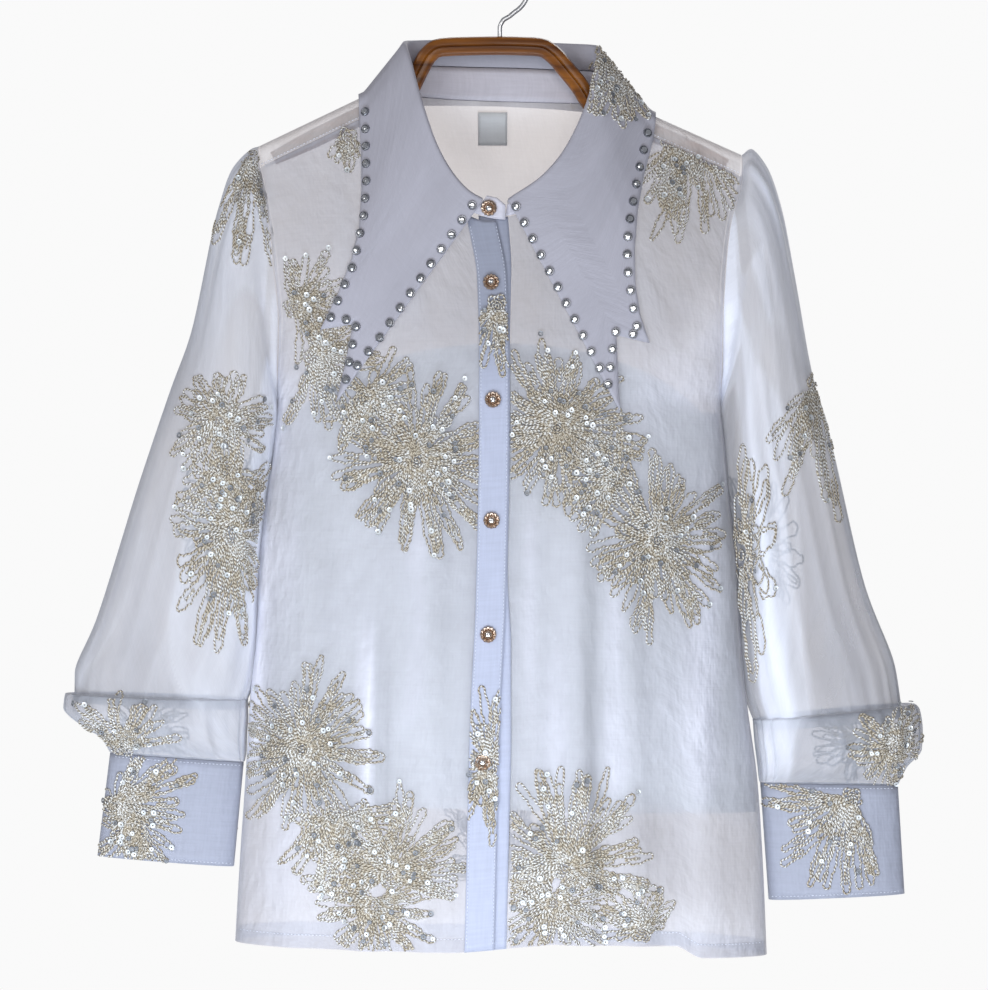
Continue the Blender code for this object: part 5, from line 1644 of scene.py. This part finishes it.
def spray(x, z, reach, start, end, squash, seed, step=CORD_STEP, wide_finger=6.9):
    """Loops of a whole spray that opens from angle start to angle end, and seats for its sequins."""
    chance = random.Random(seed)
    turn = math.radians(end - start)
    fingers = max(3, round(turn * reach / wide_finger))
    half = turn * reach / fingers / 2 * 1.06
    lobes = [(k, chance.uniform(0, math.tau), chance.uniform(0.03, 0.075)) for k in SPRAY_LOBES]
    loops, seats = [], []
    for layer, (size, shift_on, widen, inner_end) in enumerate(SPRAY_LAYERS):
        count = fingers if layer == 0 else max(3, fingers // 2 + 1)
        for k in range(count):
            share = (k + 0.5 + shift_on) / count
            angle = math.radians(start) + turn * share + chance.uniform(-0.06, 0.06)
            swell = sum(depth * math.sin(k * angle + shift) for k, shift, depth in lobes)
            droop = 0.22 * max(0.0, -math.sin(angle)) ** 3 * chance.random()
            length = reach * size * (0.87 + swell + droop + chance.uniform(-0.11, 0.15))
            wide = half * size * widen * chance.uniform(0.85, 1.08)
            bend = chance.uniform(-0.5, 0.5)
            made = finger(np.zeros(2), angle, length, wide, bend, chance, inner_end, step)
            loops += [(line, layer) for line in made]
            if made:
                tip = made[0][len(made[0]) // 2]
                for odds, nearest, farthest in ((0.14, 0.94, 1.06), (0.26, 0.3, 0.85)):
                    if chance.random() < odds:
                        seats.append(tip * chance.uniform(nearest, farthest))
    for radius in HEART_RADII:
        turns = np.linspace(0, math.tau * 0.97, int(5 + 2.6 * radius)) + chance.uniform(0, 6)
        wavy = radius * (1 + 0.16 * np.sin(5 * turns + chance.uniform(0, 6)))
        loops.append((np.stack([wavy * np.cos(turns), wavy * np.sin(turns)], axis=1), 1))
    place, stretch = np.array([x, z]), np.array([1.0, squash])
    return [(place + line * stretch, layer) for line, layer in loops], [place + s * stretch for s in seats]


# %% Sprays on the front, the sleeves and the back
# For each piece: the side it is sewn from, and rows of x, z, reach, the angles at which the
# spray starts and ends, how it is stretched upright, and its seed.
SPRAYS = {
    "front_right": (-1, (
        (-152, -262, 42, -80, 100, 1, 11), (-138, -300, 50, -110, 90, 1, 12),
        (-61, -376, 60, 0, 360, 1.16, 13), (-100, -330, 40, -140, 60, 1, 23),
        (-146, -589, 56, 0, 360, 1.1, 14), (-122, -640, 46, 180, 380, 1, 24),
        (-82, -682, 60, -30, 210, 1, 15), (-92, -704, 44, 120, 410, 1, 25),
        (-114, -138, 14, 180, 360, 1.4, 41),
    )),
    "front_left": (-1, (
        (42, -352, 62, 0, 360, 1, 16), (116, -435, 54, 0, 360, 1.22, 17), (84, -392, 40, 60, 260, 1, 27),
        (48, -676, 62, -30, 210, 1.25, 18), (40, -702, 46, 110, 430, 1, 28),
        (104, -722, 32, 10, 190, 1, 29), (140, -124, 66, 235, 330, 1.15, 19),
        (128, -140, 40, 220, 330, 1.1, 39),
    )),
    "top_band": (-1, (
        (-2, -262, 50, 200, 340, 1.1, 91), (-8, -600, 40, 0, 360, 1.3, 92),
    )),
    "sleeve_right": (-1, (
        (-186, -146, 62, 232, 305, 1.35, 21), (-199, -430, 48, 0, 360, 1.7, 22),
        (-208, -346, 38, 0, 360, 1, 31), (-204, -384, 36, 180, 360, 1.2, 51),
        (-282, -590, 44, 10, 160, 0.9, 32),
    )),
    "sleeve_left": (-1, (
        (236, -318, 60, 215, 320, 1.35, 33), (181, -446, 24, -110, 110, 3.3, 34),
        (292, -590, 34, 0, 360, 1, 35),
    )),
    "cuff_right": (-1, (
        (-288, -634, 56, -75, 75, 1, 36), (-272, -650, 34, 120, 300, 1, 46),
    )),
    "cuff_left": (-1, (
        (262, -628, 64, 172, 300, 1, 37),
    )),
    "leaf": (-1, (
        (80, -66, 46, 225, 350, 1.2, 38), (90, -88, 30, 200, 330, 1.2, 48),
    )),
    "back": (1, (
        (-120, -400, 60, 0, 360, 1, 61), (96, -420, 62, 0, 360, 1.05, 62), (-30, -470, 56, 0, 360, 1.1, 63),
        (128, -560, 56, 0, 360, 1, 64), (-130, -600, 58, 0, 360, 1, 65), (10, -690, 62, -10, 190, 1.1, 66),
    )),
    "sleeve_right_back": (1, (
        (-200, -412, 42, 0, 360, 1.5, 72), (-270, -580, 34, 0, 360, 0.8, 73),
    )),
    "sleeve_left_back": (1, (
        (192, -444, 34, 0, 360, 1.7, 75), (272, -590, 34, 0, 360, 0.8, 76),
    )),
    "cuff_right_back": (1, ((-240, -640, 44, 0, 360, 0.9, 77),)),
    "cuff_left_back": (1, ((250, -662, 44, 0, 360, 0.9, 78),)),
}
CARRIERS = {
    "front_right": front_right, "front_left": front_left, "back": back, "top_band": top_band, "leaf": leaf,
    "sleeve_right": sleeve_right, "sleeve_left": sleeve_left, "cuff_right": cuff_right, "cuff_left": cuff_left,
}
LAYER_LIFT = (0.5, 1.3)
SEQUIN_LIFT = 2.2
HIDDEN_SIDE = {"step": 3.3, "wide_finger": 8.2}  # coarser where the room can't see it
embroidery, sequin_seats = {}, []
for name, (side, rows) in SPRAYS.items():
    surface = surface_of(CARRIERS[name.removesuffix("_back")])
    lines = []
    for row in rows:
        loops, seats = spray(*row, **(HIDDEN_SIDE if side > 0 else {}))
        for layer, lift in enumerate(LAYER_LIFT):
            lines += laid_lines(surface, [line for line, at in loops if at == layer], lift, side)
        for x, z in seats:
            hit = land(surface, x, z, side)
            if hit:
                sequin_seats.append((hit[0] + hit[1] * SEQUIN_LIFT, hit[1], (1.0, 0.0, 0.3)))
    embroidery[name] = finish_piece(cord_piece(f"embroidery_{name}", lines, CORD_RADIUS, CORD), "organza")
print("embroidery:", {name: triangles(piece) for name, piece in embroidery.items()})

# %% [markdown]
# ## Sequins, studs and buttons
#
# A sequin is a small cupped ring of foil. A stud is a stone in a metal rim, and there are
# fifty-eight of them just inside the collar's edges. Each is made once and the setting
# tree copies it. The buttons are pressed rosettes with a stone in the middle.

# %% Sequins
SEQUIN_PROFILE = ((2.1, 0.35), (1.45, 0.0), (0.65, 0.05))
SEQUIN_SIDES = 9
# Name, foil, size, seed, and which of every five seats it takes. The second kind is the same
# sequin in a darkened foil, as painted dark reflection.
SEQUIN_KINDS = (("sequins", SEQUIN, 1.0, 5, (2, 3, 4)), ("smoky_sequins", SEQUIN_FOIL_PAINTED_DARK, 0.95, 6, (0, 1)))
for name, foil, size, seed, chosen in SEQUIN_KINDS:
    seats = [seat for number, seat in enumerate(sequin_seats) if number % 5 in chosen]
    small = small_piece(name[:-1], SEQUIN_PROFILE, SEQUIN_SIDES, [foil])
    piece = finish_piece(set_pieces(name, seats, small, size=size, spread=0.15, seed=seed), "hook_steel")
    print(name, len(seats), "set,", triangles(piece), "triangles")

# %% Studs on the collar
STUD_PROFILE = ((3.1, -0.6), (3.15, 0.5), (2.8, 1.1), (2.35, 1.15), (2.2, 0.8), (1.9, 1.5), (1.1, 1.95),
                (0, 2.05))
STUD_SIDES = 10
STUD_LIFT = 0.1
STUD_SIZE = 1.14
leaf_surface = surface_of(leaf)
stud_seats = []
for xs, zs, count in ((STUD_LEFT_X, STUD_LEFT_Z, STUDS_LEFT), (STUD_RIGHT_X, STUD_RIGHT_Z, STUDS_RIGHT)):
    for x, _, z in resample(np.stack([xs, np.zeros(len(xs)), zs], axis=1), count):
        place, direction = land(leaf_surface, x, z)
        stud_seats.append((place + direction * STUD_LIFT, direction, (1.0, 0.2, 0.1)))
stud = small_piece("stud", STUD_PROFILE, STUD_SIDES, [SILVER, STONE], inner_material_from=4, smooth_angle=12)
studs = finish_piece(set_pieces("collar_studs", stud_seats, stud, size=STUD_SIZE), "hook_steel")
print("studs:", len(stud_seats), "set,", triangles(studs), "triangles")


# %% Rosette buttons
ROSETTE_PETALS = 12
BUTTON_ROWS = ((5.2, 0.0, 0.0), (6.1, 0.5, 0.3), (6.1, 1.3, 0.6), (5.5, 1.9, 1.0), (4.6, 1.6, 1.1),
               (3.7, 0.9, 0.3), (3.1, 2.1, 0), (2.7, 2.5, 0), (2.2, 2.2, 0))
STONE_ROWS = ((2.2, 2.0), (1.7, 2.7), (0.9, 3.05), (0, 3.1))
STONE_SIDES = 8


def rosette():
    """A pressed button: its rim swells at each petal, and a cut stone sits in the middle."""
    shape = bmesh.new()
    turns = turns_round(ROSETTE_PETALS * 6)
    rings = []
    for radius, height, petal in BUTTON_ROWS:
        swell = petal * np.abs(np.cos(ROSETTE_PETALS * turns / 2))
        rings.append([shape.verts.new((r * math.cos(t) * MM, r * math.sin(t) * MM, (height + 0.5 * s) * MM))
                      for t, s, r in zip(turns, swell, radius - petal + swell)])
    skin(shape, rings)
    shape.faces.new(rings[0][::-1])
    facets = [[shape.verts.new((r * math.cos(t) * MM, r * math.sin(t) * MM, h * MM))
               for t in turns_round(STONE_SIDES)] for r, h in STONE_ROWS[:-1]]
    top = shape.verts.new((0, 0, STONE_ROWS[-1][1] * MM))
    skin(shape, facets, 1)
    for k in range(STONE_SIDES):
        shape.faces.new((facets[-1][k], facets[-1][(k + 1) % STONE_SIDES], top)).material_index = 1
    shape.normal_update()
    mesh = hard_mesh("rosette", shape, GOLD, 25)
    mesh.materials.append(STONE)
    return bpy.data.objects.new("rosette", mesh)


band_surface = surface_of(top_band)
holes = [(band_surface, float(band_middle(z)) + BUTTON_SHIFT, z) for z in BUTTON_Z]
holes.append((surface_of(stand), *NECK_BUTTON))
button_seats = []
for surface, x, z in holes:
    place, direction = land(surface, x, z)
    button_seats.append((place + direction * BUTTON_GAP, direction, (1.0, 0.0, 0.0)))
buttons = finish_piece(set_pieces("rosette_buttons", button_seats, rosette()), "button_gold",
                       *[f"button_{number}" for number in range(1, 7)])
print("buttons:", len(button_seats), "set,", triangles(buttons), "triangles")


# %% [markdown]
# ## Stitches
#
# A row of stitching is a dashed thread. We walk along a seam at stitch length, land each
# stitch on the cloth and set a short rounded thread there, heading along the seam.

# %% Stitch rows
STITCH = 2.6
STITCH_LIFT = 0.12
STITCH_LENGTH = 9.5
BAND_INSET = 1.4
SEAM_STITCH = 2.2


def stitch_seats(surface, line, side=-1):
    """Seats for stitches along a flat line of (x, z) points."""
    line = [(x, 0.0, z) for x, z in line]
    points = resample(line, max(3, int(lengths_of(line)[-1] / STITCH)))
    seats, last = [], None
    for x, _, z in points:
        hit = land(surface, x, z, side)
        if hit and last is not None:
            heading = hit[0] - last
            if heading.length < 3 * STITCH:
                seats.append((hit[0] + hit[1] * STITCH_LIFT, hit[1], tuple(heading.normalized())))
        last = hit[0] if hit else None
    return seats


def edge_line(edge, inset, start, end, count=60):
    heights = np.linspace(start, end, count)
    return [(float(edge(h)) + inset, float(h)) for h in heights]


seats = []
for edge, inset in ((top_left, BAND_INSET), (top_right, -BAND_INSET)):
    seats += stitch_seats(band_surface, edge_line(edge, inset, -733, -203))
xs = np.linspace(-196, 196, 80)
for surface, hem, side in ((front_surface, front_hem, -1), (surface_of(back), back_hem, 1)):
    seats += stitch_seats(surface, [(x, float(hem(x)) + HEM_TURN - 1) for x in xs], side)
for cuff_piece, cuff in ((cuff_right, LEFT_CUFF), (cuff_left, RIGHT_CUFF)):
    surface = surface_of(cuff_piece)
    for along in (0.03, 0.97):
        ends = [[np.interp(along, (0, 1), (cuff[0][c], cuff[1][c])) for c in (k, k + 1)] for k in (0, 2)]
        for side in (-1, 1):
            seats += stitch_seats(surface, ends, side)
shoulder_surface = surface_of(front_right, front_left, back)
for side in (-1, 1):
    xs = side * np.linspace(NECK_SIDE + 2, 178, 30)
    seam = shoulder_axis(xs) - SHOULDER_SEAM
    seats += stitch_seats(shoulder_surface, [(x, z + SEAM_STITCH) for x, z in zip(xs, seam)])
stitch = small_piece("stitch", ((0, -0.1), (0.22, -0.05), (0.22, 0.05), (0, 0.1)), 6, [THREAD])
for vertex in stitch.data.vertices:
    x, y, z = vertex.co
    vertex.co = (z * STITCH_LENGTH, x, y)
stitches = finish_piece(set_pieces("stitches", seats, stitch), "band_cotton")
print("stitches:", len(seats), "set,", triangles(stitches), "triangles")

# %% [markdown]


# %% [markdown]
# ## Studio
#
# The camera looks straight at the front from a little over three metres, as a long lens
# does, so near and far parts keep their sizes. One large soft light stands high on the
# left, a weaker one fills from the right, and one lights the sheer cloth from behind.

# %% Camera
CAMERA_AWAY = 3.2
FRAME_WIDTH = 0.741
FRAME_CENTRE = (-0.0045, -0.4013)
FRONT_PLANE = 0.008
SENSOR = 36.0
studio = bpy.context.scene

camera_data = bpy.data.cameras.new("camera")
camera_data.sensor_width = SENSOR
camera_data.lens = SENSOR * (CAMERA_AWAY - FRONT_PLANE) / FRAME_WIDTH
camera_data.clip_end = 50.0
camera = add_object("camera", camera_data, studio.collection)
camera.location = (FRAME_CENTRE[0], -CAMERA_AWAY, FRAME_CENTRE[1])
camera.rotation_euler = (math.radians(90), 0, 0)
studio.camera = camera


# %% Lights, floor and background
# Each light: name, place, what it points at, width and height, watts, colour.
LIGHTS = (
    ("key", (-1.7, -2.0, 0.5), (0, 0, -0.4), (1.2, 1.2), 15, (1.0, 0.99, 0.97)),
    ("front", (0.5, -2.7, 0.15), (0, 0, -0.4), (1.0, 1.0), 13, (1.0, 0.98, 0.96)),
    ("low", (-0.1, -0.9, -0.97), (0, 0, -0.6), (1.2, 0.36), 9.4, (0.80, 0.89, 1.0)),
    ("behind", (0.5, 1.9, 0.5), (0, 0, -0.4), (1.6, 1.6), 26, (1.0, 0.98, 0.97)),
)
FLOOR_Z = -1.25
ROOM_LIGHT, ROOM_STRENGTH = (0.80, 0.83, 0.90), 0.31
WALL_BESIDE = (0.955, 0.955, 0.955)
WALL_THROUGH_CLOTH = (0.86, 0.81, 0.80)

for name, place, target, size, power, colour in LIGHTS:
    light = bpy.data.lights.new(name, "AREA")
    light.shape = "RECTANGLE"
    light.size, light.size_y = size
    light.energy = power
    light.color = colour
    lamp = add_object(name, light, studio.collection)
    lamp.location = place
    lamp.rotation_euler = (Vector(target) - Vector(place)).to_track_quat("-Z", "Y").to_euler()

floor_shape = bmesh.new()
bmesh.ops.create_circle(floor_shape, cap_ends=True, segments=64, radius=1.6)
floor_mesh = bpy.data.meshes.new("floor")
floor_shape.to_mesh(floor_mesh)
floor_shape.free()
floor_mesh.transform(Matrix.Translation((0, 0, FLOOR_Z)))
floor = add_object("floor", floor_mesh, studio.collection)
pale, floor_tree, floor_shader = new_material("pale_floor")
wire(floor_tree, floor_shader, {"Base Color": (0.82, 0.82, 0.82, 1), "Roughness": 0.9})
floor_mesh.materials.append(pale)

world = bpy.data.worlds.new("studio")
studio.world = world
world.use_nodes = True
sky = world.node_tree
room = sky.nodes["Background"]
wire(sky, room, {"Color": (*ROOM_LIGHT, 1), "Strength": ROOM_STRENGTH})
path = add_node(sky, "ShaderNodeLightPath").outputs
behind_cloth = maths(sky, "GREATER_THAN", path["Transparent Depth"], 0.5)
paint = blend(sky, behind_cloth, WALL_BESIDE, WALL_THROUGH_CLOTH)
wall = add_node(sky, "ShaderNodeBackground", {"Color": paint})
seen = add_node(sky, "ShaderNodeMixShader", {
    0: path["Is Camera Ray"], 1: room.outputs[0], 2: wall.outputs[0]})
wire(sky, sky.nodes["World Output"], {"Surface": seen.outputs[0]})
studio.view_settings.view_transform = "Standard"
studio.cycles.transparent_max_bounces = 20
studio.cycles.max_bounces = 5
studio.cycles.diffuse_bounces = 3
